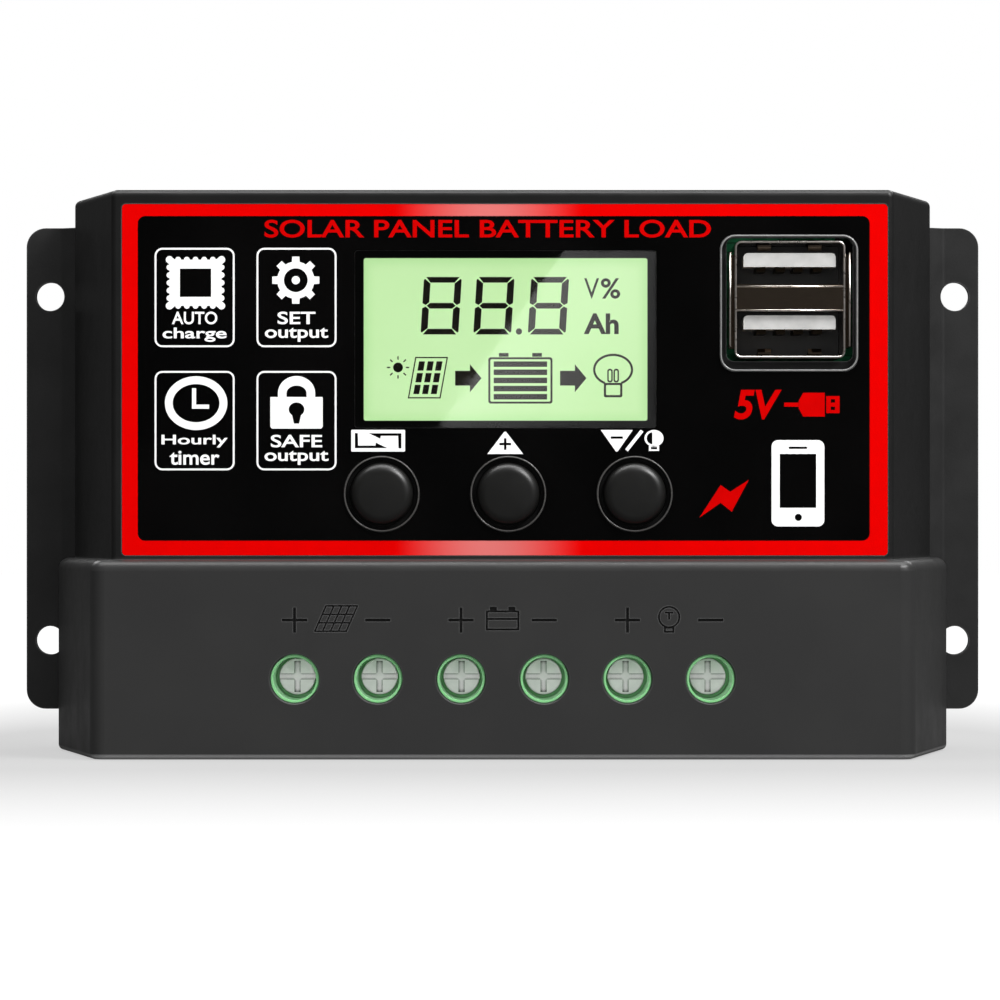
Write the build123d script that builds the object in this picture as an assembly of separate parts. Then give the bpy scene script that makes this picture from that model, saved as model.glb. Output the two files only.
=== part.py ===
from build123d import *
import os

# Solar charge controller for a wall: a plastic front case on a joggled metal base plate, with a display,
# three push buttons, a double charging socket and six screw terminals with rising clamps.
# Millimetres. X runs to the right as seen from the front, Z up, and the front faces -Y.
# The origin is the centre of the four wall holes, on the wall plane.

# ---- Driving dimensions: base plate ----
overall_width = 133.5
plate_thickness = 2.0
plate_standoff = 1.5  # how far the middle of the plate stands off the wall
flange_height = 67.4
flange_corner_radius = 2.7
joggle_run = 2.2  # width of the slope between flange and middle
hole_edge_x = 3.3  # wall hole centre to the flange's outer edge
hole_edge_z = 9.6  # and to its top or bottom edge
wall_hole_radius = 2.0

# ---- Driving dimensions: front case ----
case_height = 76.5
case_centre_z = -0.95  # the case hangs a little lower than the holes
unit_depth = 35.0
face_width = 105.0  # flat front of the upper part
side_flare = 7.1  # how much wider each side is at the back
skirt_depth = 3.0  # straight part of the side walls at the back
wall = 2.0
band_height = 26.75  # the raised terminal band at the bottom
band_rise = 2.5  # how far the band stands in front of the upper part
band_extra_front = 2.55  # how much wider the band is on each side, at its front
band_extra_rear = 2.3  # and at its back
fit_gap = 0.1  # general clearance between pieces that don't move
seat_gap = 0.2
solder_gap = 0.15  # round a lead in its hole
ridge_radius = 0.8  # front edges of the upper part
band_ridge_radius = 2.2
side_bend_radius = 3.0
top_edge_radius = 0.9
band_top_radius = 1.5
band_bottom_radius = 0.8
mark_depth = 0.3
mark_rise = 7.9  # marks above the row of screws
vent_count = 13
vent_pitch = 6.0
vent_width = 1.8

# ---- Face label, display, buttons, charging socket ----
label_thickness = 0.3
label_recess = 0.35
label_width = 103.0
label_shift = 0.3  # the label sits a little to the right
label_margin_top = 1.9
label_margin_bottom = 0.55  # above the band
collar_width = 0.25
collar_rise = 0.12
window_place = (0.4, 20.1)  # centre, right of the middle and below the case's top
window_size = (40.5, 23.8)
window_thickness = 0.8
sight_size = (38.2, 21.9)
glass_size = (42.0, 25.4)
glass_thickness = 2.8
light_guide_thickness = 2.8
holder_wall = 1.0
button_pitch = 17.0
button_row = (0.75, 8.85)  # centre of the middle button, right of the middle and above the band
button_diameter = 8.4
button_pocket = 9.75
button_pocket_depth = 0.8
button_proud = 1.1
button_travel = 0.3
button_side_gap = 0.2
flange_lip = 0.6
stem_radius = 2.2
plunger_radius = 1.75
switch_side = 6.0
switch_height = 3.5
switch_cover = 0.3
switch_spacing_gap = 0.15
switch_pin_shift = (3.6, 2.25)
plunger_sink = 1.3  # how far the plunger stands in its switch
usb_drop = 14.75  # centre below the case's top
usb_boss_gap = 0.6  # between the shell's side and the screw boss beside it
usb_width = 14.9
usb_height = 15.8
usb_sheet = 0.3
usb_flap_offset = 0.75
usb_pocket_shift = (-0.15, -0.5)  # the pocket's centre from the socket's centre
usb_pocket_margin = (3.2, 2.1)  # wider and taller than the shell
usb_pocket_radius = 1.8
usb_pocket_depth = 1.3
usb_tongue = (12.4, 1.85)
usb_tongue_raise = (5.35, -3.05)  # tongue centres above the socket's centre
usb_divider = (1.9, -1.4)  # top and bottom of the wall between the two ports
usb_contact_offsets = (-3.8, -1.2, 1.2, 3.8)
usb_contact_size = (1.25, 0.6)
usb_leg_rise = 4.5  # solder legs above and below the socket's centre

# ---- Circuit board and what is on it ----
board_thickness = 1.6
board_standoff_height = 5.5
board_side_gap = 2.5  # inside the flat of the face, on each side
board_end_gap = 0.8  # to the top and bottom walls
pin_tail = 0.5  # how far soldered pins stand out behind the board
boss_radius = 2.6
boss_inset = (3.2, 5.8)  # from the face's side and from the case's top and bottom
case_screw_radius = 1.4
case_screw_bite = 11.0  # how far the screw reaches into the boss
standoff_across = 5.0
board_screw_radius = 1.25
power_count = 4
power_pitch = 18.0
power_width = 10.0
power_depth = 4.4
power_tab_thickness = 1.3
power_row_rise = 0.95  # centre of the row above the board's centre
pad_thickness = 0.3
chip_leg_pitch = 1.27
lcd_pin_count = 14
lcd_pin_pitch = 2.54
lcd_pin_radius = 0.3

# ---- Terminals ----
pole_count = 6
pole_pitch = 11.15
screw_row_rise = 10.8  # above the case's bottom
chimney_diameter = 6.35
well_diameter = 5.8
case_hole_diameter = 6.6
chimney_sink = 0.35  # the green tube ends this far behind the band's face
head_diameter = 4.9
head_thickness = 1.6
screw_diameter = 3.5
screw_thread_pitch = 0.6
screw_turns = 5
slot_width = 0.85
slot_depth = 0.55
thread_gap = 0.05
ledge = 0.6
clamp_width = 7.4
clamp_length = 6.0
clamp_side_wall = 0.8
clamp_top_wall = 1.3
clamp_floor = 0.9
bar_thickness = 0.8
bar_width = 4.6
bar_pin_shift = 1.6  # each solder pin from the middle of the bar
bar_foot = 1.6  # the folded foot below the block's top
bar_slot_gap = 0.05
wire_space = 4.4
block_floor = 0.8
block_front_cover = 2.5  # plastic in front of the screw head's underside
block_length = 17.6
block_sink = 0.3  # wire face behind the case's bottom face
cell_gap = 0.15
wire_width = 5.6

# ---- Places worked out from the dimensions above ----
hole_spacing_x = overall_width - 2 * hole_edge_x
hole_spacing_z = flange_height - 2 * hole_edge_z
case_top = case_centre_z + case_height / 2
case_bottom = case_centre_z - case_height / 2
band_top = case_bottom + band_height
plate_front = -(plate_standoff + plate_thickness)
rim = plate_front
band_front = -unit_depth
face = band_front + band_rise
face_half = face_width / 2
rear_half = face_half + side_flare
band_face_half = face_half + band_extra_front
band_rear_half = rear_half + band_extra_rear
inner_face = face + wall
band_inner = band_front + wall + seat_gap
label_floor = face + label_recess
label_front = label_floor - label_thickness
label_top = case_top - label_margin_top
label_height = label_top - band_top - label_margin_bottom
label_centre_z = label_top - label_height / 2
window_centre = (window_place[0], case_top - window_place[1])
window_seat = label_front + window_thickness
glass_front = inner_face + 0.4
glass_back = glass_front + glass_thickness
guide_back = glass_back + light_guide_thickness
button_z = band_top + button_row[1]
button_places = [(button_row[0] + i * button_pitch, button_z) for i in (-1, 0, 1)]
button_names = ["menu", "up", "down"]
usb_inset = boss_inset[0] + boss_radius + usb_boss_gap + usb_width / 2
usb_centre = (face_half - usb_inset, case_top - usb_drop)
usb_pocket = (usb_width + usb_pocket_margin[0], usb_height + usb_pocket_margin[1])
usb_pocket_centre = (usb_centre[0] + usb_pocket_shift[0], usb_centre[1] + usb_pocket_shift[1])
usb_front = face + 0.3
boss_places = [
    (side * (face_half - boss_inset[0]), z)
    for side in (-1, 1)
    for z in (case_bottom + boss_inset[1], case_top - boss_inset[1])
]
board_back = plate_front - board_standoff_height
board_front = board_back - board_thickness
board_half = face_half - board_side_gap
board_top = case_top - wall - board_end_gap
board_bottom = case_bottom + wall + board_end_gap
board_centre_z = (board_top + board_bottom) / 2
power_row_z = board_centre_z + power_row_rise
usb_back = board_front - 2.0
insulator_front = usb_front + 9.4
cap_flange_front = inner_face + seat_gap
cap_flange_back = cap_flange_front + 0.9
plunger_front = board_front - 14.0
screw_row_z = case_bottom + screw_row_rise
clamp_travel = screw_thread_pitch * screw_turns
pole_places = [(i - (pole_count - 1) / 2) * pole_pitch for i in range(pole_count)]
floor_front = board_front - block_floor
clamp_back = floor_front - fit_gap
clamp_floor_front = clamp_back - clamp_floor
bar_back = clamp_floor_front - wire_space
bar_front = bar_back - bar_thickness
clamp_top_back = bar_front - seat_gap
clamp_top_front = clamp_top_back - clamp_top_wall
cell_front = clamp_top_front - clamp_travel - seat_gap
head_back = cell_front - ledge
head_front = head_back - head_thickness
block_front = head_back - block_front_cover
block_bottom = case_bottom + block_sink
block_top = block_bottom + block_length
cell_half_z = clamp_length / 2 + cell_gap
leg_z = block_top - bar_foot
leg_thickness = bar_thickness
chimney_front = band_front + chimney_sink
standoff_places = [
    (-face_half + 8.0, label_top - 10.0),
    (-face_half + 8.0, band_top - 1.5),
    (face_half - 6.5, button_z + 9.6),
    (face_half - 6.5, band_top - 1.5),
]


# ---- Helpers ----
def slab(sketch, back, front):
    """Pushes a sketch drawn in (x, z) forward from y = back to y = front."""
    plane = Plane(origin=(0, back, 0), x_dir=(1, 0, 0), z_dir=(0, -1, 0))
    return extrude(plane * sketch, amount=back - front)


def rod(x, z, radius, back, front):
    return slab(Pos(x, z) * Circle(radius), back, front)


def panel(x, z, width, height, back, front, radius=0.0):
    if radius:
        return slab(Pos(x, z) * RectangleRounded(width, height, radius), back, front)
    return slab(Pos(x, z) * Rectangle(width, height), back, front)


def block(low, high):
    """A box from its lowest to its highest corner."""
    size = [h - l for l, h in zip(low, high)]
    middle = [(h + l) / 2 for l, h in zip(low, high)]
    return Pos(*middle) * Box(*size)


def joined(shapes):
    """One shape from touching or separate ones."""
    total = shapes[0]
    for shape in shapes[1:]:
        total = total + shape
    return total


def cut(shape, tools):
    return shape - joined(tools)


def group(shapes):
    return Compound(children=[s for shape in shapes for s in shape.solids()])


# ---- Front case ----
def tapered_prism(front, front_half, back_half, low, high):
    """The plan of the case, narrow at the front and straight at the back, raised from low to high."""
    bend = rim - skirt_depth
    plan = make_face(
        Polyline(
            (-back_half, rim),
            (-back_half, bend),
            (-front_half, front),
            (front_half, front),
            (back_half, bend),
            (back_half, rim),
            close=True,
        )
    )
    return Pos(0, 0, low) * extrude(plan, amount=high - low, dir=(0, 0, 1))


def rounded_prism(front, front_half, back_half, low, high, ridge, bend, ends):
    """A tapered prism with rounded front ridges, side bends and the end faces named in ends."""
    solid = tapered_prism(front, front_half, back_half, low, high)
    upright = solid.edges().filter_by(Axis.Z)
    solid = fillet([e for e in upright if abs(e.center().Y - front) < 0.01], ridge)
    upright = solid.edges().filter_by(Axis.Z)
    at_bend = [e for e in upright if abs(e.center().Y - (rim - skirt_depth)) < 0.01]
    solid = fillet(at_bend, bend)
    for z, radius in ends:
        face_edges = [e for e in solid.edges() if abs(e.center().Z - z) < 0.01]
        face_edges = [e for e in face_edges if abs(e.center().Y - rim) > 0.01]
        solid = fillet(face_edges, radius)
    return solid


def inner_half(y, front, front_half, back_half):
    """Half the inside width at depth y, one wall in from the sloping side."""
    share = (y - front) / (rim - skirt_depth - front)
    return front_half + share * (back_half - front_half) - wall


def case_hollow():
    upper = tapered_prism(
        inner_face,
        inner_half(inner_face, face, face_half, rear_half),
        rear_half - wall,
        case_bottom + wall,
        case_top - wall,
    )
    lower = tapered_prism(
        band_inner,
        inner_half(band_inner, band_front, band_face_half, band_rear_half),
        band_rear_half - wall,
        case_bottom + wall,
        band_top - wall,
    )
    return upper + lower


def plus_and_minus(x_plus, x_minus, z):
    """Marks sunk above a pair of terminals."""
    arm, stroke = 3.4, 0.4
    return [
        Pos(x_plus, z) * Rectangle(arm, stroke),
        Pos(x_plus, z) * Rectangle(stroke, arm),
        Pos(x_minus, z) * Rectangle(arm, stroke),
    ]


def panel_mark(x, z):
    """A leaning solar panel, three rows of four cells."""
    width, height, lean, stroke = 4.2, 3.4, 1.5, 0.22
    rows, columns = 3, 4
    marks = []
    for i in range(rows + 1):
        share = i / rows - 0.5
        marks.append(Pos(x + lean * share, z + height * share) * Rectangle(width + stroke, stroke))
    for i in range(columns + 1):
        middle = x + width * (i / columns - 0.5)
        line = Line((middle - lean / 2, z - height / 2), (middle + lean / 2, z + height / 2))
        marks.append(trace(line, stroke))
    return marks


def battery_mark(x, z):
    width, height, stroke = 4.5, 2.7, 0.28
    frame = Rectangle(width, height) - Rectangle(width - 2 * stroke, height - 2 * stroke)
    marks = [Pos(x, z - 0.25) * frame, Pos(x, z - 0.05) * Rectangle(width, stroke)]
    for side in (-1, 1):
        marks.append(Pos(x + side * 1.25, z + 1.35) * Rectangle(0.95, 0.5))
    return marks


def bulb_mark(x, z):
    radius, stroke = 1.5, 0.26
    marks = [Pos(x, z + 0.2) * (Circle(radius) - Circle(radius - stroke))]
    base = Rectangle(1.4, 0.8) - Rectangle(1.4 - 2 * stroke, 0.8 - 2 * stroke)
    marks.append(Pos(x, z - 1.5) * base)
    marks.append(Pos(x, z + 0.8) * Rectangle(1.1, stroke))
    marks.append(Pos(x, z + 0.35) * Rectangle(stroke, 1.0))
    return marks


def band_marks():
    """All sunk marks of the terminal band, as cutting solids."""
    mark_z = screw_row_z + mark_rise
    marks = []
    for pair, icon in enumerate((panel_mark, battery_mark, bulb_mark)):
        left, right = pole_places[2 * pair], pole_places[2 * pair + 1]
        marks += plus_and_minus(left, right, mark_z)
        marks += icon((left + right) / 2, mark_z + 0.2)
    return [slab(mark, band_front + mark_depth, band_front - 1.0) for mark in marks]


def vent_slots():
    """A row of air slots through the top wall."""
    back, front = rim - 6.0, inner_face + 3.0
    slots = []
    for i in range(vent_count):
        x = (i - (vent_count - 1) / 2) * vent_pitch
        low = (x - vent_width / 2, front, case_top - wall - 1)
        slots.append(block(low, (x + vent_width / 2, back, case_top + 1)))
    return slots


def front_case():
    upper = rounded_prism(
        face,
        face_half,
        rear_half,
        case_bottom + wall,
        case_top,
        ridge_radius,
        side_bend_radius,
        [(case_top, top_edge_radius)],
    )
    band = rounded_prism(
        band_front,
        band_face_half,
        band_rear_half,
        case_bottom,
        band_top,
        band_ridge_radius,
        side_bend_radius,
        [(band_top, band_top_radius), (case_bottom, band_bottom_radius)],
    )
    shell = upper + band - case_hollow()

    for x, z in boss_places:
        front = band_inner - 0.5 if z < band_top else inner_face - 0.5
        shell += rod(x, z, boss_radius, rim, front)
    pilot_depth = case_screw_bite + 2.0
    pilots = [rod(x, z, case_screw_radius + thread_gap, rim + 1, rim - pilot_depth) for x, z in boss_places]
    shell = cut(shell, pilots)

    # The shallow seat of the label, with a thin raised collar round each button and the socket
    shell -= panel(label_shift, label_centre_z, label_width, label_height, label_floor, face - 1, 0.6)
    collar_front = face - collar_rise
    for x, z in button_places:
        shell += rod(x, z, button_pocket / 2 + collar_width, label_floor + 0.2, collar_front)
    shell += panel(
        *usb_pocket_centre,
        usb_pocket[0] + 2 * collar_width,
        usb_pocket[1] + 2 * collar_width,
        label_floor + 0.2,
        collar_front,
        usb_pocket_radius + collar_width,
    )

    openings = []
    for x, z in button_places:
        openings.append(rod(x, z, button_pocket / 2, face + button_pocket_depth, face - 2))
        openings.append(rod(x, z, button_diameter / 2 + button_side_gap, inner_face + 1, face - 2))
    openings.append(
        panel(*usb_pocket_centre, *usb_pocket, face + usb_pocket_depth, face - 2, usb_pocket_radius)
    )
    socket_hole = (usb_width + 2 * usb_flap_offset + 0.6, usb_height + 0.8)
    openings.append(panel(*usb_centre, *socket_hole, inner_face + 1, face - 2, 1.0))
    openings.append(
        panel(
            *window_centre,
            window_size[0] + fit_gap,
            window_size[1] + fit_gap,
            window_seat,
            face - 2,
            0.4,
        )
    )
    openings.append(panel(*window_centre, *sight_size, inner_face + 1, face - 2, 0.3))
    shell = cut(shell, openings)

    # Screwdriver holes, the wire opening in the bottom wall, and the marks
    holes = []
    for x in pole_places:
        holes.append(rod(x, screw_row_z, case_hole_diameter / 2, band_inner + 1, band_front - 1))
    opening_half = pole_count / 2 * pole_pitch + seat_gap
    holes.append(
        block(
            (-opening_half, block_front - seat_gap, case_bottom - 1),
            (opening_half, board_front + seat_gap, case_bottom + wall + 1),
        )
    )
    shell = cut(shell, holes)
    mouths = [
        e
        for e in shell.edges().filter_by(GeomType.CIRCLE)
        if abs(e.center().Y - band_front) < 0.01 and abs(e.radius - case_hole_diameter / 2) < 0.01
    ]
    shell = chamfer(mouths, 0.12)
    shell = cut(shell, band_marks())
    return cut(shell, vent_slots())


# ---- Base plate ----
def base_plate():
    """A sheet with a raised middle and a flange on each side, closing the back of the case."""
    end = overall_width / 2
    top = rear_half + joggle_run
    slant = 0.4  # the front of the slope is a little further in, so that the sheet keeps its thickness
    right_back = [(rear_half + slant, -plate_standoff), (top + slant, 0), (end, 0)]
    right_front = [(end, -plate_thickness), (top, -plate_thickness), (rear_half, plate_front)]
    right = right_back + right_front
    left = [(-x, y) for x, y in reversed(right)]
    profile = make_face(Polyline(*right, *left, close=True))
    low, high = case_bottom + seat_gap, case_top - seat_gap
    sheet = Pos(0, 0, low) * extrude(profile, amount=high - low, dir=(0, 0, 1))
    bends = [e for e in sheet.edges().filter_by(Axis.Z) if abs(e.center().X) < end - 1]
    sheet = fillet(bends, 0.8)
    middle_width = 2 * rear_half - 0.4
    outline = panel(0, (low + high) / 2, middle_width, high - low, 1, -10, 1.0)
    outline += panel(0, 0, overall_width, flange_height, 1, -10, flange_corner_radius)
    sheet = sheet & outline

    holes = []
    for x in (-hole_spacing_x / 2, hole_spacing_x / 2):
        for z in (-hole_spacing_z / 2, hole_spacing_z / 2):
            holes.append(rod(x, z, wall_hole_radius, 1, -10))
    holes += [rod(x, z, case_screw_radius + 0.2, 1, -10) for x, z in boss_places]
    holes += [rod(x, z, 1.6, 1, -10) for x, z in standoff_places]
    holes += [rod(x, z, 1.5, 1, -10) for x, z in power_screw_places()]
    return cut(sheet, holes)


def pan_screw(x, z, head_under, head_radius, head_height, shank_radius, shank_end):
    """A cross-head screw whose head stands behind y = head_under when shank_end is in front, or the
    other way round."""
    forward = shank_end < head_under
    step = head_height if forward else -head_height
    head_top = head_under + step
    low, high = max(head_under, head_top), min(head_under, head_top)
    head = rod(x, z, head_radius, low, high)
    rim_edges = [
        e
        for e in head.edges().filter_by(GeomType.CIRCLE)
        if abs(e.center().Y - head_top) < 0.01
    ]
    head = fillet(rim_edges, min(0.6, head_height * 0.4))
    shank = rod(x, z, shank_radius, max(head_under, shank_end), min(head_under, shank_end))
    recess_floor = head_top - 0.7 * step
    recess_front, recess_back = sorted((head_top + step, recess_floor))
    arm, arm_width = head_radius * 1.1, 0.6
    cross = panel(x, z, arm, arm_width, recess_back, recess_front)
    cross += panel(x, z, arm_width, arm, recess_back, recess_front)
    return head + shank - cross


def case_screws():
    return group(
        pan_screw(x, z, -plate_standoff, 2.6, 1.35, case_screw_radius, rim - case_screw_bite)
        for x, z in boss_places
    )


# ---- Face label and display ----
def face_label():
    size = (label_width - fit_gap, label_height - fit_gap)
    label = panel(label_shift, label_centre_z, *size, label_floor, label_front, 0.6)
    cuts = []
    for x, z in button_places:
        radius = button_pocket / 2 + collar_width + fit_gap / 2
        cuts.append(rod(x, z, radius, label_floor + 1, label_front - 1))
    grown = 2 * collar_width + fit_gap
    cuts.append(
        panel(
            *usb_pocket_centre,
            usb_pocket[0] + grown,
            usb_pocket[1] + grown,
            label_floor + 1,
            label_front - 1,
            usb_pocket_radius + collar_width,
        )
    )
    window_cut = (window_size[0] + fit_gap, window_size[1] + fit_gap)
    cuts.append(panel(*window_centre, *window_cut, label_floor + 1, label_front - 1, 0.4))
    return cut(label, cuts)


def lcd_window():
    return panel(*window_centre, *window_size, window_seat, label_front, 0.4)


def lcd_glass():
    """Two bonded panes; the rear one is longer, for the contact ledge."""
    x, z = window_centre
    width, height = glass_size
    ledge_height = 1.6
    middle = glass_front + glass_thickness / 2
    front_pane = panel(x, z, width, height - 2 * ledge_height, middle, glass_front)
    return front_pane + panel(x, z, width, height, glass_back, middle)


def lcd_backlight():
    return panel(*window_centre, *glass_size, guide_back, glass_back + 0.02)


def lcd_holder():
    """The frame round the glass and the light guide, on four legs that stand on the board."""
    x, z = window_centre
    width, height = glass_size
    outer = (width + 2 * (holder_wall + fit_gap), height + 2 * (holder_wall + fit_gap))
    lip_back = guide_back + 0.8
    frame = panel(x, z, *outer, lip_back, inner_face + 0.1, 1.0)
    frame -= panel(x, z, width + 2 * fit_gap, height + 2 * fit_gap, guide_back + 0.02, inner_face - 1)
    frame -= panel(x, z, width - 3.0, height - 1.2, lip_back + 1, inner_face - 1)
    leg = 2.4
    for side_x in (-1, 1):
        for side_z in (-1, 1):
            leg_x = x + side_x * (outer[0] / 2 - leg / 2)
            leg_z_place = z + side_z * (outer[1] / 2 - leg / 2)
            frame += panel(leg_x, leg_z_place, leg, leg, board_front, guide_back + 0.1)
    return frame


def lcd_pin_places():
    x, z = window_centre
    rise = glass_size[1] / 2 - 1.5
    start = x - (lcd_pin_count - 1) / 2 * lcd_pin_pitch
    return [(start + i * lcd_pin_pitch, z + side * rise) for side in (-1, 1) for i in range(lcd_pin_count)]


def lcd_pins():
    return group(
        rod(x, z, lcd_pin_radius, board_back + pin_tail, guide_back + 0.02) for x, z in lcd_pin_places()
    )


# ---- Buttons and their switches ----
def button_cap(x, z):
    """A domed key with a flange behind the case wall and a stem that meets the switch."""
    radius = button_diameter / 2
    crown = face - button_proud
    dome_rise, edge_radius = 0.3, 0.9
    dome_radius = (radius**2 + dome_rise**2) / (2 * dome_rise)
    key = rod(x, z, radius, cap_flange_front, crown) & Pos(x, crown + dome_radius, z) * Sphere(dome_radius)
    shoulder = [
        e
        for e in key.edges().filter_by(GeomType.CIRCLE)
        if abs(e.center().Y - crown - dome_rise) < 0.01
    ]
    key = fillet(shoulder, edge_radius)
    key += rod(x, z, radius + flange_lip, cap_flange_back, cap_flange_front)
    return key + rod(x, z, stem_radius, plunger_front, cap_flange_back)


def switch_body(x, z):
    """The switch's square base with the well that the plunger slides in."""
    top = board_front - switch_height
    body = panel(x, z, switch_side, switch_side, board_front, top, 0.3)
    well_floor = top + plunger_sink + button_travel + 0.1
    return body - rod(x, z, plunger_radius + switch_spacing_gap, well_floor, top - 1)


def switch_cover_plate(x, z):
    top = board_front - switch_height
    cover = panel(x, z, switch_side, switch_side, top, top - switch_cover, 0.3)
    return cover - rod(x, z, plunger_radius + switch_spacing_gap, top + 1, top - 2)


def switch_plunger(x, z):
    top = board_front - switch_height
    return rod(x, z, plunger_radius, top + plunger_sink, plunger_front)


def switch_pin_places():
    return [
        (x + side_x * switch_pin_shift[0], z + side_z * switch_pin_shift[1])
        for x, z in button_places
        for side_x in (-1, 1)
        for side_z in (-1, 1)
    ]


def switch_pins():
    thick, wide, rise = 0.3, 0.7, 1.2
    pins = []
    for (x, z) in button_places:
        for side_x in (-1, 1):
            for side_z in (-1, 1):
                pin_x, pin_z = x + side_x * switch_pin_shift[0], z + side_z * switch_pin_shift[1]
                pin = panel(pin_x, pin_z, thick, wide, board_back + pin_tail, board_front - rise)
                reach = switch_pin_shift[0] + thick / 2 - switch_side / 2
                inward = x + side_x * (switch_side / 2 + reach / 2)
                pin += panel(inward, pin_z, reach, wide, board_front - rise + thick, board_front - rise)
                pins.append(pin)
    return group(pins)


# ---- Double charging socket ----
def usb_finger(x, wall_z, inward):
    """A spring finger that leans in from the top or bottom wall; inward is +1 or -1 in z."""
    width = 1.8
    root, tip, end = usb_front + 6.5, usb_front + 1.6, usb_front + 0.7
    drop = 0.75 * inward
    thick = 0.25 * inward
    bite = -0.15 * inward  # how deep the root sits in the wall
    side = Polyline(
        (0, root + 0.8, wall_z + bite),
        (0, root, wall_z + bite),
        (0, tip, wall_z + drop),
        (0, end, wall_z + drop / 3),
        (0, end, wall_z + drop / 3 + thick),
        (0, tip, wall_z + drop + thick),
        (0, root, wall_z + thick),
        (0, root + 0.8, wall_z + thick),
        close=True,
    )
    return Pos(x - width / 2, 0, 0) * extrude(make_face(side), amount=width, dir=(1, 0, 0))


def usb_shell():
    """The plated shell: an outer box, the wall between the ports, spring fingers and side flaps."""
    x, z = usb_centre
    shell = panel(x, z, usb_width, usb_height, usb_back, usb_front, 0.9)
    inner = (usb_width - 2 * usb_sheet, usb_height - 2 * usb_sheet)
    shell -= panel(x, z, *inner, usb_back + 1, usb_front - 1, 0.6)
    half = usb_width / 2 - usb_sheet / 2
    for level in usb_divider:
        low = z + level - usb_sheet / 2
        shell += block((x - half, usb_front, low), (x + half, usb_front + 9.0, low + usb_sheet))
    low, high = z + usb_divider[1], z + usb_divider[0]
    shell += block((x - half, usb_front + 0.3, low), (x + half, usb_front + 0.6, high))
    inside = usb_height / 2 - usb_sheet
    for side in (-1, 1):
        shell += usb_finger(x + side * 3.4, z + inside, -1)
        shell += usb_finger(x + side * 3.4, z - inside, 1)
        # Grounding flap beside the shell, joined to it at its back end
        flap_x = x + side * (usb_width / 2 + usb_flap_offset)
        near, far = sorted((flap_x, flap_x - side * usb_sheet))
        shell += block((near, usb_front + 0.1, z - 6.4), (far, usb_front + 9.0, z + 6.4))
        near, far = sorted((flap_x, x + side * half))
        shell += block((near, usb_front + 8.7, z - 6.4), (far, usb_front + 9.0, z + 6.4))
    for side_x in (-1, 1):
        for side_z in (-1, 1):
            leg_x = x + side_x * (usb_width / 2 - usb_sheet / 2)
            leg_z_place = z + side_z * usb_leg_rise
            shell += panel(leg_x, leg_z_place, usb_sheet, 1.6, board_back + pin_tail, usb_back - 1)
    return shell


def usb_contact_places():
    x, z = usb_centre
    drop = (usb_tongue[1] + usb_contact_size[1]) / 2 + 0.02
    return [(x + dx, z + rise - drop) for rise in usb_tongue_raise for dx in usb_contact_offsets]


def usb_insulator():
    x, z = usb_centre
    width, height = usb_width - 2 * usb_sheet - 0.1, usb_height - 2 * usb_sheet - 0.1
    body = panel(x, z, width, height, usb_back, insulator_front, 0.5)
    body += panel(x, z, width - 2, height - 2, board_front, usb_back - 0.5)
    width, height = usb_contact_size[0] + 0.04, usb_contact_size[1] + 0.04
    slots = [
        panel(cx, cz, width, height, board_front + 1, insulator_front - 1)
        for cx, cz in usb_contact_places()
    ]
    return cut(body, slots)


def usb_tongue_piece(rise):
    """A contact tongue with rounded upper corners, standing out of the insulator."""
    x, z = usb_centre
    width, height = usb_tongue
    tongue = panel(x, z + rise, width, height, insulator_front, usb_front + 1.0)
    rounded = [
        e
        for e in tongue.edges().filter_by(Axis.Y)
        if e.center().Z > z + rise
    ]
    return fillet(rounded, 0.6)


def usb_contacts():
    return group(
        panel(x, z, *usb_contact_size, board_back + pin_tail, usb_front + 1.7)
        for x, z in usb_contact_places()
    )


# ---- Terminals ----
def terminal_housing(pair):
    """A two-pole green block with a tube round each screw and a wire mouth under each pole."""
    poles = pole_places[2 * pair : 2 * pair + 2]
    middle = sum(poles) / 2
    half = pole_pitch - fit_gap / 2
    body = block((middle - half, block_front, block_bottom), (middle + half, board_front, block_top))
    for x in poles:
        body += rod(x, screw_row_z, chimney_diameter / 2, block_front + 0.5, chimney_front)
    hollow = []
    for x in poles:
        hollow.append(rod(x, screw_row_z, well_diameter / 2, head_back, chimney_front - 1))
        hollow.append(rod(x, screw_row_z, screw_diameter / 2 + 0.15, cell_front + 0.5, head_back - 0.5))
        cell_half = clamp_width / 2 + cell_gap
        hollow.append(
            block(
                (x - cell_half, cell_front, screw_row_z - cell_half_z),
                (x + cell_half, floor_front, screw_row_z + cell_half_z),
            )
        )
        slot_half = bar_width / 2 + bar_slot_gap
        hollow.append(
            block(
                (x - slot_half, bar_front - bar_slot_gap, screw_row_z - cell_half_z - 0.6),
                (x + slot_half, bar_back + bar_slot_gap, leg_z + leg_thickness + bar_slot_gap),
            )
        )
        hollow.append(
            block(
                (x - slot_half, bar_back - bar_slot_gap, leg_z - bar_slot_gap),
                (x + slot_half, board_front + 1, leg_z + leg_thickness + bar_slot_gap),
            )
        )
        mouth_half = wire_width / 2
        hollow.append(
            block(
                (x - mouth_half, bar_back, block_bottom - 1),
                (x + mouth_half, clamp_floor_front, screw_row_z - cell_half_z + 0.5),
            )
        )
        hollow.append(wire_funnel(x))
    return cut(body, hollow)


def wire_funnel(x):
    """The flared mouth that guides a wire in."""
    flare, depth = 0.9, 1.2
    middle_y = (bar_back + clamp_floor_front) / 2
    mouth = Plane(origin=(x, middle_y, block_bottom - 0.01), z_dir=(0, 0, 1))
    throat = Plane(origin=(x, middle_y, block_bottom + depth), z_dir=(0, 0, 1))
    wide = mouth * Rectangle(wire_width + 2 * flare, wire_space + 2 * flare)
    narrow = throat * Rectangle(wire_width, wire_space)
    return loft([wide, narrow])


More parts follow.
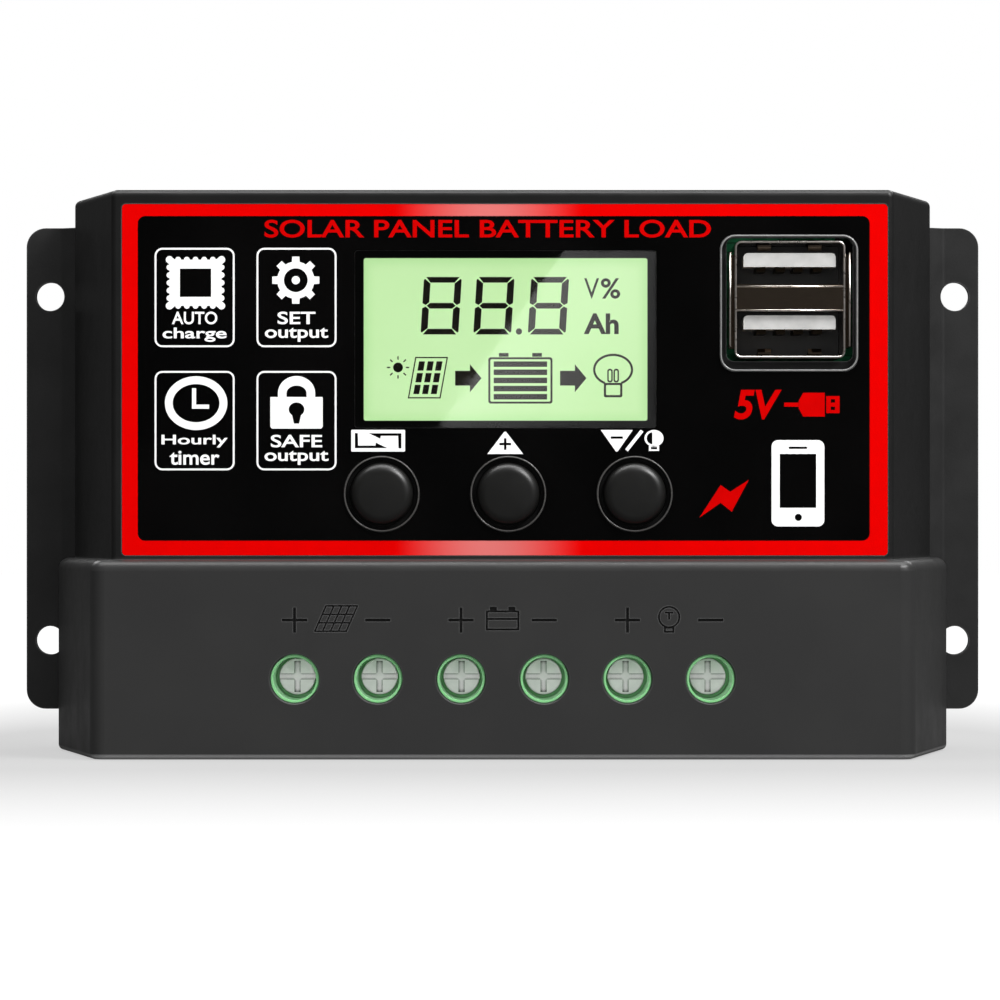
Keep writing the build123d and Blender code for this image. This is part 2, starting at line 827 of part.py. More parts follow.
def terminal_screw(x):
    """A captive screw with crossed slots, its head on the ledge and its tip on the contact bar."""
    head = rod(x, screw_row_z, head_diameter / 2, head_back, head_front)
    rims = [
        e
        for e in head.edges().filter_by(GeomType.CIRCLE)
        if abs(e.center().Y - head_front) < 0.01
    ]
    head = fillet(rims, 0.2)
    shank = rod(x, screw_row_z, screw_diameter / 2, bar_front - 0.05, head_back)
    floor_y = head_front + slot_depth
    across = panel(x, screw_row_z, head_diameter + 1, slot_width, floor_y, head_front - 1)
    down = panel(x, screw_row_z, slot_width, head_diameter - 0.65, floor_y, head_front - 1)
    return head + shank - (across + down)


def terminal_clamp(x):
    """A box-shaped clamp, threaded on the screw, that rises to press the wire on the contact bar."""
    half, length = clamp_width / 2, clamp_length / 2
    frame = block(
        (x - half, clamp_top_front, screw_row_z - length), (x + half, clamp_back, screw_row_z + length)
    )
    frame -= block(
        (x - half + clamp_side_wall, clamp_top_back, screw_row_z - length - 1),
        (x + half - clamp_side_wall, clamp_floor_front, screw_row_z + length + 1),
    )
    rounded = [e for e in frame.edges().filter_by(Axis.Z) if abs(abs(e.center().X - x) - half) < 0.01]
    frame = fillet(rounded, 0.5)
    bore = rod(x, screw_row_z, screw_diameter / 2 + thread_gap, clamp_top_back + 0.5, clamp_top_front - 1)
    return frame - bore


def terminal_pin_places():
    return [(x + side * bar_pin_shift, leg_z + leg_thickness / 2) for x in pole_places for side in (-1, 1)]


def contact_bars():
    """For each pole a bar that the screw bears on, folded down to two solder pins."""
    bars = []
    for x in pole_places:
        half = bar_width / 2
        low = screw_row_z - cell_half_z - 0.5
        bar = block((x - half, bar_front, low), (x + half, bar_back, leg_z + leg_thickness))
        bar += block((x - half, bar_back - 0.1, leg_z), (x + half, board_front, leg_z + leg_thickness))
        for side in (-1, 1):
            pin_x = x + side * bar_pin_shift
            low_corner = (pin_x - 0.5, board_front - 0.1, leg_z)
            bar += block(low_corner, (pin_x + 0.5, board_back + pin_tail, leg_z + leg_thickness))
        bars.append(bar)
    return group(bars)


# ---- Board and parts on it ----
def power_places():
    return [((i - (power_count - 1) / 2) * power_pitch, power_row_z) for i in range(power_count)]


def power_screw_places():
    return [(x, z + 7.9) for x, z in power_places()]


def power_lead_places():
    return [(x + offset, power_row_z - 9.0) for x, _ in power_places() for offset in (-2.54, 0, 2.54)]


capacitor_x = 18.5 - face_half
capacitor_places = [
    (capacitor_x, window_centre[1] + 6.8, 5.0, 16.0),
    (capacitor_x, window_centre[1] - 7.7, 4.0, 12.0),
]
coil_place = (capacitor_x - 3.0, button_z - 2.4)
micro_place = (button_row[0], button_z - 10.8)
regulator_place = (usb_centre[0] - 2.65, usb_centre[1] - 18.05)
thermistor_place = (button_places[2][0] + 12.25, block_top + 6.8)
shunt_place = (button_places[0][0] - 3.75, block_top + 5.8)
shunt_span = 8.0
shunt_radius = 0.75


def two_lead_places():
    places = []
    for x, z, radius, _ in capacitor_places:
        places += [(x - radius / 2, z), (x + radius / 2, z)]
    for x, z in (coil_place, thermistor_place):
        places += [(x - 2.5, z), (x + 2.5, z)]
    return places


def shunt_leg_places():
    x, z = shunt_place
    return [(x - shunt_span / 2, z), (x + shunt_span / 2, z)]


def main_board():
    board = panel(0, board_centre_z, 2 * board_half, board_top - board_bottom, board_back, board_front, 1.0)
    notch = boss_radius + 0.6
    behind, ahead = board_back + 1, board_front - 1
    cuts = []
    for x, z in boss_places:
        outward_x = 1 if x > 0 else -1
        outward_z = 1 if z > board_centre_z else -1
        xs = sorted((x + 10 * outward_x, x - notch * outward_x))
        zs = sorted((z + 10 * outward_z, z - notch * outward_z))
        cuts.append(block((xs[0], ahead, zs[0]), (xs[1], behind, zs[1])))
    drilled = [
        (standoff_places, board_screw_radius),
        (lcd_pin_places(), lcd_pin_radius),
        (switch_pin_places(), 0.35),
        (usb_contact_places(), usb_contact_size[0] / 2 + 0.1),
        (terminal_pin_places(), 0.6),
        (power_lead_places() + two_lead_places(), 0.5),
        (shunt_leg_places(), shunt_radius),
    ]
    for places, radius in drilled:
        cuts += [rod(x, z, radius + solder_gap, behind, ahead) for x, z in places]
    usb_x, usb_z = usb_centre
    for side_x in (-1, 1):
        for side_z in (-1, 1):
            leg_x = usb_x + side_x * (usb_width / 2 - usb_sheet / 2)
            cuts.append(panel(leg_x, usb_z + side_z * usb_leg_rise, 0.8, 2.0, behind, ahead))
    return cut(board, cuts)


def board_standoffs():
    """Hexagonal posts clinched into the plate, each with a threaded hole from the board side."""
    posts = []
    for x, z in standoff_places:
        post = slab(
            Pos(x, z) * RegularPolygon(standoff_across / 2, 6, major_radius=False), plate_front, board_back
        )
        post += rod(x, z, 1.55, -plate_standoff - 0.2, plate_front - 0.1)
        posts.append(post - rod(x, z, board_screw_radius + 0.03, plate_front - 0.8, board_back - 1))
    return group(posts)


def board_screws():
    return group(
        pan_screw(x, z, board_front, 2.3, 1.6, board_screw_radius, board_back + 4.0)
        for x, z in standoff_places
    )


def thermal_pad():
    width = (power_count - 1) * power_pitch + power_width + 2
    pad = panel(0, power_row_z + 3.2, width, 17.0, plate_front, plate_front - pad_thickness, 0.5)
    return cut(pad, [rod(x, z, 1.7, 0, -20) for x, z in power_screw_places()])


def power_bodies():
    back = plate_front - pad_thickness
    bodies = []
    for x, z in power_places():
        body = panel(x, z, power_width, 9.2, back - power_tab_thickness, back - power_depth)
        edges = [e for e in body.edges() if abs(e.center().Y - (back - power_depth)) < 0.01]
        bodies.append(chamfer(edges, 0.4))
    return group(bodies)


def power_tabs():
    """The metal tab of each power transistor, and its three leads bent forward through the board."""
    back = plate_front - pad_thickness
    pieces = []
    for x, z in power_places():
        tab = panel(x, z + 3.1, power_width, 15.4, back, back - power_tab_thickness)
        pieces.append(tab - rod(x, z + 7.9, 1.8, 0, -20))
    for x, z in power_lead_places():
        level = back - 2.4
        lead = block((x - 0.4, level - 0.5, z - 0.25), (x + 0.4, level, power_row_z - 4.6))
        lead += block((x - 0.4, board_front - 0.9, z - 0.25), (x + 0.4, level - 0.4, z + 0.25))
        pieces.append(lead)
    return group(pieces)


def power_screws():
    seat = plate_front - pad_thickness - power_tab_thickness
    return group(
        pan_screw(x, z, seat, 2.7, 1.9, 1.45, -plate_standoff - 0.1) for x, z in power_screw_places()
    )


def capacitor_cans():
    cans = []
    for x, z, radius, height in capacitor_places:
        base = board_front - 0.2
        can = rod(x, z, radius, base, base - height)
        rims = [
            e for e in can.edges().filter_by(GeomType.CIRCLE) if abs(e.center().Y - (base - height)) < 0.01
        ]
        cans.append(fillet(rims, 0.6))
    return cans


def capacitor_sleeves():
    """The printed sleeve round each can, folded a little over its top."""
    sleeves = []
    for x, z, radius, height in capacitor_places:
        base, top = board_front - 0.2, board_front - 0.2 - height
        sleeve = rod(x, z, radius + 0.2, base, top - 0.2)
        sleeve -= rod(x, z, radius + 0.01, base + 1, top)
        sleeves.append(sleeve - rod(x, z, radius - 0.9, base + 1, top - 1))
    return group(sleeves)


def through_leads():
    """Round tinned leads of the capacitors, the coil and the thermistor."""
    leads = []
    for x, z in two_lead_places():
        leads.append(rod(x, z, 0.4, board_back + pin_tail, board_front - 0.2))
    return group(leads)


def coil_core():
    x, z = coil_place
    base = board_front - 0.2
    core = rod(x, z, 5.0, base, base - 1.5)
    core += rod(x, z, 2.2, base - 1, base - 7)
    return core + rod(x, z, 5.0, base - 6.5, base - 8.0)


def coil_winding():
    x, z = coil_place
    base = board_front - 0.2
    return rod(x, z, 4.5, base - 1.5, base - 6.5) - rod(x, z, 2.2, base, base - 8)


def chip(x, z, width, height, lift, thick):
    return panel(x, z, width, height, board_front - lift, board_front - lift - thick)


def microcontroller():
    return chip(*micro_place, 17.9, 5.4, 0.15, 2.2)


def regulator_chip():
    return chip(*regulator_place, 4.9, 3.9, 0.15, 1.5)


def chip_leg(x, edge_z, side):
    """One gull-wing leg: out of the chip's side, down and along the board."""
    half_width, thick, knee, reach = 0.2, 0.25, 0.5, 1.2
    top = board_front - 0.95

    def strip(start, end, front, back):
        low, high = sorted((edge_z + side * start, edge_z + side * end))
        return block((x - half_width, front, low), (x + half_width, back, high))

    leg = strip(0, knee + 0.12, top, top + thick)
    leg += strip(knee - 0.12, knee + 0.12, top, board_front)
    return leg + strip(knee, reach, board_front - thick, board_front)


def chip_legs():
    legs = []
    for (cx, cz), count, edge in ((micro_place, 14, 2.7), (regulator_place, 4, 1.95)):
        for i in range(count):
            x = cx + (i - (count - 1) / 2) * chip_leg_pitch
            legs += [chip_leg(x, cz + side * edge, side) for side in (-1, 1)]
    return group(legs)


def chip_parts():
    """Small surface parts: a field of resistors and capacitors between the taller ones."""
    parts = []
    for column in range(6):
        for row in range(2):
            x, z = micro_place[0] + 11.75 + column * 2.6, micro_place[1] + 1.5 - row * 3.0
            parts.append(chip(x, z, 1.6, 0.85, 0.0, 0.5))
    for x in (coil_place[0] - 8.0, regulator_place[0] - 5.5):
        for row in range(4):
            parts.append(chip(x, regulator_place[1] + 3.0 - row * 3.0, 2.0, 1.25, 0.0, 0.6))
    return group(parts)


def thermistor():
    x, z = thermistor_place
    middle = board_front - 3.2
    return Pos(x, middle, z) * Sphere(3.0) & panel(x, z, 8, 3.0, middle + 5, middle - 5)


def current_shunt():
    """A thick resistance wire bent in a bridge over the board."""
    (left, z), (right, _) = shunt_leg_places()
    foot, top = board_back + pin_tail, board_front - 5.0
    path = FilletPolyline((left, foot, z), (left, top, z), (right, top, z), (right, foot, z), radius=1.8)
    return sweep(Plane(origin=path @ 0, z_dir=path % 0) * Circle(shunt_radius), path=path)


# ---- Write every node ----
def all_nodes():
    nodes = {
        "front_case": front_case(),
        "base_plate": base_plate(),
        "case_screws": case_screws(),
        "face_label": face_label(),
        "lcd_window": lcd_window(),
        "lcd_glass": lcd_glass(),
        "lcd_backlight": lcd_backlight(),
        "lcd_holder": lcd_holder(),
        "lcd_pins": lcd_pins(),
        "switch_pins": switch_pins(),
        "usb_shell": usb_shell(),
        "usb_insulator": usb_insulator(),
        "usb_tongue_upper": usb_tongue_piece(usb_tongue_raise[0]),
        "usb_tongue_lower": usb_tongue_piece(usb_tongue_raise[1]),
        "usb_contacts": usb_contacts(),
        "contact_bars": contact_bars(),
        "main_board": main_board(),
        "board_standoffs": board_standoffs(),
        "board_screws": board_screws(),
        "thermal_pad": thermal_pad(),
        "power_bodies": power_bodies(),
        "power_tabs": power_tabs(),
        "power_screws": power_screws(),
        "capacitor_cans": group(capacitor_cans()),
        "capacitor_sleeves": capacitor_sleeves(),
        "through_leads": through_leads(),
        "coil_core": coil_core(),
        "coil_winding": coil_winding(),
        "microcontroller": microcontroller(),
        "regulator_chip": regulator_chip(),
        "chip_legs": chip_legs(),
        "chip_parts": chip_parts(),
        "thermistor": thermistor(),
        "current_shunt": current_shunt(),
    }
    for pair, name in enumerate(("solar", "battery", "load")):
        nodes[f"terminal_block_{name}"] = terminal_housing(pair)
    for i, x in enumerate(pole_places, start=1):
        nodes[f"terminal_screw_{i}"] = terminal_screw(x)
        nodes[f"terminal_clamp_{i}"] = terminal_clamp(x)
    for name, (x, z) in zip(button_names, button_places):
        nodes[f"button_{name}"] = button_cap(x, z)
        nodes[f"switch_plunger_{name}"] = switch_plunger(x, z)
    nodes["switch_bodies"] = group(switch_body(x, z) for x, z in button_places)
    nodes["switch_covers"] = group(switch_cover_plate(x, z) for x, z in button_places)
    return nodes


os.makedirs("parts", exist_ok=True)
for node_name, shape in all_nodes().items():
    export_step(shape, f"parts/{node_name}.step")
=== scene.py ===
import bpy
import bmesh
from math import cos, pi, radians, sin, tau
from mathutils import Matrix, Vector


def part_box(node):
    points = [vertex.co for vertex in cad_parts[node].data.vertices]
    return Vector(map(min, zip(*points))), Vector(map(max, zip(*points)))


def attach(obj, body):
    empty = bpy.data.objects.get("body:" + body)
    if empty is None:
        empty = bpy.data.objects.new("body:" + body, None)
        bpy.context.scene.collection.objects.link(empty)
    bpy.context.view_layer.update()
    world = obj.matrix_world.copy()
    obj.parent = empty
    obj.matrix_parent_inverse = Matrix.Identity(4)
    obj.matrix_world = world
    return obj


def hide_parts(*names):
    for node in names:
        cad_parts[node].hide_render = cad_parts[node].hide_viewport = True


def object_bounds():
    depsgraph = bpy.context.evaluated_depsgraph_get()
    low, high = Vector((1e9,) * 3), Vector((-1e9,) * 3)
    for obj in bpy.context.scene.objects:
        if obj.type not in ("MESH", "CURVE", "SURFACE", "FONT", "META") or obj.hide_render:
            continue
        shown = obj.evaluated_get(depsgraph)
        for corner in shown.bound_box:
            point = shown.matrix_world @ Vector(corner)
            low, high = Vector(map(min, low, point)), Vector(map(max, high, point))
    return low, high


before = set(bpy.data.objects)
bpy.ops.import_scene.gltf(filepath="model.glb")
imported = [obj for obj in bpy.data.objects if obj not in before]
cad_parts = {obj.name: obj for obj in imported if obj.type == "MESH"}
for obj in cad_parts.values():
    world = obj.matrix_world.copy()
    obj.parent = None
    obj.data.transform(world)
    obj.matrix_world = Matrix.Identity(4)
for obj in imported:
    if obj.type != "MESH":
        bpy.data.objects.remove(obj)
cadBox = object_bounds()
mm = 0.001
keys = ("menu", "up", "down")
print("frame loaded,", len(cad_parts), "nodes")


# shader nodes shared by the finishes
def startMaterial(name):
    material = bpy.data.materials.new(name)
    material.use_nodes = True
    tree = material.node_tree
    shader = tree.nodes["Principled BSDF"]
    coords = tree.nodes.new("ShaderNodeTexCoord").outputs["Object"]
    return material, tree, shader, coords


def cloudy(tree, coords, size, detail=4.0, stretch=(1, 1, 1)):
    # noise with features of about the given size in millimetres
    mapping = tree.nodes.new("ShaderNodeMapping")
    mapping.inputs["Scale"].default_value = stretch
    texture = tree.nodes.new("ShaderNodeTexNoise")
    texture.inputs["Scale"].default_value = 1 / (size * mm)
    texture.inputs["Detail"].default_value = detail
    tree.links.new(coords, mapping.inputs["Vector"])
    tree.links.new(mapping.outputs["Vector"], texture.inputs["Vector"])
    return texture.outputs["Fac"]


def remap(tree, value, fromMin, fromMax, toMin, toMax, smooth=False):
    node = tree.nodes.new("ShaderNodeMapRange")
    node.interpolation_type = "SMOOTHSTEP" if smooth else "LINEAR"
    for socket, number in zip(("From Min", "From Max", "To Min", "To Max"), (fromMin, fromMax, toMin, toMax)):
        node.inputs[socket].default_value = number
    tree.links.new(value, node.inputs["Value"])
    return node.outputs["Result"]


def mixColors(tree, factor, first, second):
    node = tree.nodes.new("ShaderNodeMix")
    node.data_type = "RGBA"
    tree.links.new(factor, node.inputs["Factor"])
    for socket, color in (("A", first), ("B", second)):
        target = [i for i in node.inputs if i.name == socket and i.type == "RGBA"][0]
        if isinstance(color, tuple):
            target.default_value = (*color, 1)
        else:
            tree.links.new(color, target)
    return [o for o in node.outputs if o.type == "RGBA"][0]


def addBump(tree, shader, height, depth):
    # depth in millimetres
    bump = tree.nodes.new("ShaderNodeBump")
    bump.inputs["Distance"].default_value = depth * mm
    bump.inputs["Strength"].default_value = 1.0
    tree.links.new(height, bump.inputs["Height"])
    tree.links.new(bump.outputs["Normal"], shader.inputs["Normal"])


def product(tree, *values):
    total = values[0]
    for value in values[1:]:
        times = tree.nodes.new("ShaderNodeMath")
        times.operation = "MULTIPLY"
        tree.links.new(total, times.inputs[0])
        tree.links.new(value, times.inputs[1])
        total = times.outputs["Value"]
    return total


def roughen(tree, shader, texture, low, high):
    tree.links.new(remap(tree, texture, 0.3, 0.7, low, high), shader.inputs["Roughness"])


def patchy(tree, coords, size, detail=4.0, stretch=(1, 1, 1)):
    # soft patches that go all the way from 0 to 1
    return remap(tree, cloudy(tree, coords, size, detail, stretch), 0.35, 0.65, 0, 1)


def centreOf(node):
    low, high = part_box(node)
    return (low + high) / 2


def axisValue(tree, coords, axis):
    split = tree.nodes.new("ShaderNodeSeparateXYZ")
    tree.links.new(coords, split.inputs["Vector"])
    return split.outputs[axis]


def vectorMath(tree, operation, first, second=(0, 0, 0)):
    node = tree.nodes.new("ShaderNodeVectorMath")
    node.operation = operation
    tree.links.new(first, node.inputs[0])
    if isinstance(second, tuple):
        node.inputs[1].default_value = second
    else:
        tree.links.new(second, node.inputs[1])
    return node.outputs["Value" if operation in ("DISTANCE", "DOT_PRODUCT", "LENGTH") else "Vector"]


def nearAxis(tree, coords, centre, reach):
    # 1 within reach, in millimetres, of a line through centre along Y
    flat = vectorMath(tree, "MULTIPLY", coords, (1, 0, 1))
    distance = vectorMath(tree, "DISTANCE", flat, (centre.x, 0, centre.z))
    return remap(tree, distance, (reach - 0.1) * mm, (reach + 0.1) * mm, 1, 0)


def edgeLight(tree, width):
    # 1 on sharp edges, 0 on flats: the mask of a painted highlight along edges
    bevel = tree.nodes.new("ShaderNodeBevel")
    bevel.samples = 6
    bevel.inputs["Radius"].default_value = width * mm
    geometry = tree.nodes.new("ShaderNodeNewGeometry")
    dot = vectorMath(tree, "DOT_PRODUCT", bevel.outputs["Normal"], geometry.outputs["True Normal"])
    return remap(tree, dot, 0.99, 0.8, 0, 1)


def cornerShade(tree, depth):
    # 1 deep in slots and corners, 0 on open faces
    shade = tree.nodes.new("ShaderNodeAmbientOcclusion")
    shade.samples = 8
    shade.only_local = True
    shade.inputs["Distance"].default_value = depth * mm
    return remap(tree, shade.outputs["AO"], 0.35, 0.85, 1, 0)


def basicFinish(name, look):
    # two-tone colour, uneven roughness and a fine grain, and if asked a painted highlight along sharp edges
    # and painted shade in slots and corners; look says how much of each
    material, tree, shader, coords = startMaterial(name)
    stretch = look.get("stretch", (1, 1, 1))
    patches = patchy(tree, coords, look["patchSize"], 5, stretch)
    color = mixColors(tree, patches, look["color"], look["otherColor"])
    # painted highlight along sharp edges
    if look.get("edgeHighlightWidth"):
        color = mixColors(tree, edgeLight(tree, look["edgeHighlightWidth"]), color, look["paintedEdgeShading"])
    # painted shade deep in slots and corners
    if look.get("cavityShadeDepth"):
        color = mixColors(tree, cornerShade(tree, look["cavityShadeDepth"]), color, look["cavityShadeColor"])
    tree.links.new(color, shader.inputs["Base Color"])
    rough, spread = look["roughness"]
    smudges = cloudy(tree, coords, look["patchSize"] * 0.4, 6, stretch)
    roughen(tree, shader, smudges, rough - spread, rough + spread)
    grain = cloudy(tree, coords, look["grainSize"], 3, stretch)
    addBump(tree, shader, grain, look["grainDepth"])
    shader.inputs["Metallic"].default_value = look.get("metallic", 0.0)
    shader.inputs["Specular IOR Level"].default_value = look.get("specular", 0.5)
    shader.inputs["Coat Weight"].default_value = look.get("coat", 0.0)
    shader.inputs["Coat Roughness"].default_value = look.get("coatRoughness", 0.1)
    return material


# charcoal moulding of the case: fine spark texture, painted light that makes the terminal band lighter than
# the upper part, a painted highlight along the edges and the bottom edge, painted shade on the key pocket
# floors and dark sunk marks
def charcoalMoulding():
    look = {
        "upperShadedColor": (0.0062, 0.0062, 0.0062),
        "upperShadedOther": (0.0074, 0.0074, 0.0074),
        "bandLitColor": (0.0195, 0.0195, 0.0195),
        "bandLitOther": (0.0215, 0.0215, 0.0213),
        "bandDrop": 0.4,  # from the label down to the band
        "bandBlur": 0.3,
        "paintedEdgeShading": (0.07, 0.07, 0.07),
        "edgeHighlightWidth": 0.25,
        "footHighlightColor": (0.2, 0.2, 0.2),
        "footHighlightRise": (0.45, 0.75),
        "markColor": (0.0068, 0.0068, 0.0068),
        "markDepth": (0.1, 0.16),
        "markRise": (2.2, 2.6),  # above the screws
        "markDrop": (4.0, 3.6),  # below the top of the band
        "markSide": (38, 39),
        "pocketShadeColor": (0.0012, 0.0012, 0.0012),
        "pocketShadeReach": 5.15,
        "patchSize": 14,
        "roughness": (0.33, 0.44),
        "smudgeSize": 5,
        "specular": 0.22,
        "grainSize": 0.16,
        "grainDepth": 0.005,
    }
    material, tree, shader, coords = startMaterial("charcoalMoulding")
    height = axisValue(tree, coords, "Z")
    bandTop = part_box("face_label")[0].z - look["bandDrop"] * mm
    blur = look["bandBlur"] * mm
    share = remap(tree, height, bandTop - blur, bandTop + blur, 0, 1, True)
    # painted light: the band is coloured lighter than the upper part of the same plastic
    base = mixColors(tree, share, look["bandLitColor"], look["upperShadedColor"])
    lighter = mixColors(tree, share, look["bandLitOther"], look["upperShadedOther"])
    base = mixColors(tree, patchy(tree, coords, look["patchSize"], 3), base, lighter)
    # painted highlight along sharp edges
    base = mixColors(tree, edgeLight(tree, look["edgeHighlightWidth"]), base, look["paintedEdgeShading"])
    low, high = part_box("front_case")
    # painted highlight along the bottom edge of the case, standing in for the floor's reflection
    highlightStart, highlightEnd = (low.z + value * mm for value in look["footHighlightRise"])
    base = mixColors(tree, remap(tree, height, highlightStart, highlightEnd, 1, 0), base, look["footHighlightColor"])
    # painted shade on the floors of the round key pockets
    for key in keys:
        pocket = nearAxis(tree, coords, centreOf(f"button_{key}"), look["pocketShadeReach"])
        base = mixColors(tree, pocket, base, look["pocketShadeColor"])
    # the marks lie a little behind the front of the band, above the screws
    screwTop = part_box("terminal_screw_1")[1].z
    sunkStart, sunkFull = (low.y + value * mm for value in look["markDepth"])
    sunk = remap(tree, axisValue(tree, coords, "Y"), sunkStart, sunkFull, 0, 1)
    riseStart, riseFull = (screwTop + value * mm for value in look["markRise"])
    above = remap(tree, height, riseStart, riseFull, 0, 1)
    dropStart, dropEnd = (bandTop - value * mm for value in look["markDrop"])
    below = remap(tree, height, dropStart, dropEnd, 1, 0)
    side = tree.nodes.new("ShaderNodeMath")
    side.operation = "ABSOLUTE"
    tree.links.new(axisValue(tree, coords, "X"), side.inputs[0])
    sideStart, sideEnd = (value * mm for value in look["markSide"])
    within = remap(tree, side.outputs["Value"], sideStart, sideEnd, 1, 0)
    base = mixColors(tree, product(tree, sunk, above, below, within), base, look["markColor"])
    tree.links.new(base, shader.inputs["Base Color"])
    roughen(tree, shader, cloudy(tree, coords, look["smudgeSize"], 6), *look["roughness"])
    addBump(tree, shader, cloudy(tree, coords, look["grainSize"], 2), look["grainDepth"])
    shader.inputs["Specular IOR Level"].default_value = look["specular"]
    return material


# powder coat of the base plate, with a painted highlight along its sharp edges
def powderCoat():
    return basicFinish("powderCoat", {
        "color": (0.0100, 0.0100, 0.0100),
        "otherColor": (0.0130, 0.0130, 0.0130),
        "paintedEdgeShading": (0.05, 0.05, 0.05),
        "edgeHighlightWidth": 0.3,
        "specular": 0.3,
        "roughness": (0.46, 0.06),
        "patchSize": 9,
        "grainSize": 0.35,
        "grainDepth": 0.012,
    })


# black gloss film of the label
def blackFilm():
    return basicFinish("blackFilm", {
        "color": (0.0008, 0.0008, 0.0008),
        "otherColor": (0.0014, 0.0013, 0.0013),
        "roughness": (0.16, 0.03),
        "patchSize": 18,
        "grainSize": 2.2,
        "grainDepth": 0.0012,
        "specular": 0.08,
    })


def inkFinish(name, color, otherColor):
    return basicFinish(name, {
        "color": color,
        "otherColor": otherColor,
        "roughness": (0.4, 0.05),
        "patchSize": 2.5,
        "grainSize": 0.12,
        "grainDepth": 0.003,
        "specular": 0.03,
    })


# red ink of the border, paler in the middle of its long sides
def borderInk():
    look = {
        "color": (0.52, 0.0, 0.0),
        "otherColor": (0.49, 0.0, 0.0),
        "paleColor": (0.49, 0.118, 0.112),
        "paleMiddle": 18,  # from the left side of the window
        "paleHalfWidth": 13,
        "roughness": (0.36, 0.46),
        "specular": 0.02,
    }
    material, tree, shader, coords = startMaterial("borderInk")
    side = axisValue(tree, coords, "X")
    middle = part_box("lcd_window")[0].x + look["paleMiddle"] * mm
    reach = look["paleHalfWidth"] * mm
    rising = remap(tree, side, middle - reach, middle, 0, 1, True)
    falling = remap(tree, side, middle, middle + reach, 1, 0, True)
    both = product(tree, rising, falling)
    speckle = cloudy(tree, coords, 1.8, 5)
    red = mixColors(tree, remap(tree, speckle, 0.3, 0.7, 0, 1), look["color"], look["otherColor"])
    tree.links.new(mixColors(tree, both, red, look["paleColor"]), shader.inputs["Base Color"])
    roughen(tree, shader, speckle, *look["roughness"])
    addBump(tree, shader, cloudy(tree, coords, 0.12, 2), 0.003)
    shader.inputs["Specular IOR Level"].default_value = look["specular"]
    return material


# clear acrylic of the display window, faintly wavy
def clearAcrylic():
    look = {
        "tint": (0.97, 0.985, 0.97),
        "otherTint": (0.99, 0.995, 0.99),
        "roughness": (0.0, 0.03),
        "waveSize": 9,
        "waveDepth": 0.0006,
        "bending": 1.49,
    }
    material, tree, shader, coords = startMaterial("clearAcrylic")
    tint = mixColors(tree, cloudy(tree, coords, 12), look["tint"], look["otherTint"])
    tree.links.new(tint, shader.inputs["Base Color"])
    roughen(tree, shader, cloudy(tree, coords, 3, 6), *look["roughness"])
    addBump(tree, shader, cloudy(tree, coords, look["waveSize"], 2), look["waveDepth"])
    shader.inputs["Transmission Weight"].default_value = 1.0
    shader.inputs["IOR"].default_value = look["bending"]
    return material


# lit green display, with painted shade along its edges where the case's opening shades it
def litDisplay():
    look = {
        "middleColor": (0.635, 0.93, 0.485),
        "paintedEdgeShading": (0.55, 0.87, 0.41),
        "hazeMiddle": (0.61, 0.915, 0.455),
        "hazeShadedEdge": (0.52, 0.85, 0.385),
        "hazeSize": 16,
        "offColor": (0.05, 0.09, 0.04, 1),
        "glow": 0.97,
        "edgeShadeFade": 1.6,
        "covered": (1.9, 0, 1.75),  # how much of the glass the case covers
    }
    material, tree, shader, coords = startMaterial("litDisplay")
    covered = Vector(look["covered"]) * mm
    low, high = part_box("lcd_glass")
    low, high = low + covered, high - covered
    fade = look["edgeShadeFade"] * mm
    shares = []
    for axis, start, end in (("X", low.x, high.x), ("Z", low.z, high.z)):
        place = axisValue(tree, coords, axis)
        for edge, inner in ((start, start + fade), (end, end - fade)):
            shares.append(remap(tree, place, edge, inner, 0, 1, True))
    # painted shade: the glow dims towards the edges that the case's opening shades
    inside = product(tree, *shares)
    haze = patchy(tree, coords, look["hazeSize"], 2)
    plain = mixColors(tree, inside, look["paintedEdgeShading"], look["middleColor"])
    hazy = mixColors(tree, inside, look["hazeShadedEdge"], look["hazeMiddle"])
    tree.links.new(mixColors(tree, haze, plain, hazy), shader.inputs["Emission Color"])
    shader.inputs["Emission Strength"].default_value = look["glow"]
    shader.inputs["Base Color"].default_value = look["offColor"]
    tree.links.new(remap(tree, haze, 0, 1, 0.3, 0.4), shader.inputs["Roughness"])
    addBump(tree, shader, cloudy(tree, coords, 0.5, 2), 0.002)
    return material


# nickel-plated sheet and screws: faint rolling lines and a warm tint
def nickelPlate(name, tone, roughness, stretch=(1, 1, 1)):
    return basicFinish(name, {
        "color": tone,
        "otherColor": tuple(c * 0.88 for c in tone),
        "roughness": (roughness, 0.04),
        "patchSize": 1.6,
        "grainSize": 0.3,
        "grainDepth": 0.002,
        "metallic": 1.0,
        "stretch": stretch,
    })


# zinc-plated screw heads with a fine turned grain, a painted highlight along their edges and painted shade
# deep in the slots
def screwPlate():
    return basicFinish("screwPlate", {
        "color": (0.86, 0.77, 0.84),
        "otherColor": (0.78, 0.70, 0.765),
        "paintedEdgeShading": (0.90, 0.82, 0.88),
        "edgeHighlightWidth": 0.12,
        "cavityShadeColor": (0.03, 0.03, 0.03),
        "cavityShadeDepth": 0.5,
        "roughness": (0.45, 0.06),
        "patchSize": 1.1,
        "grainSize": 0.14,
        "grainDepth": 0.006,
        "metallic": 0.05,
    })
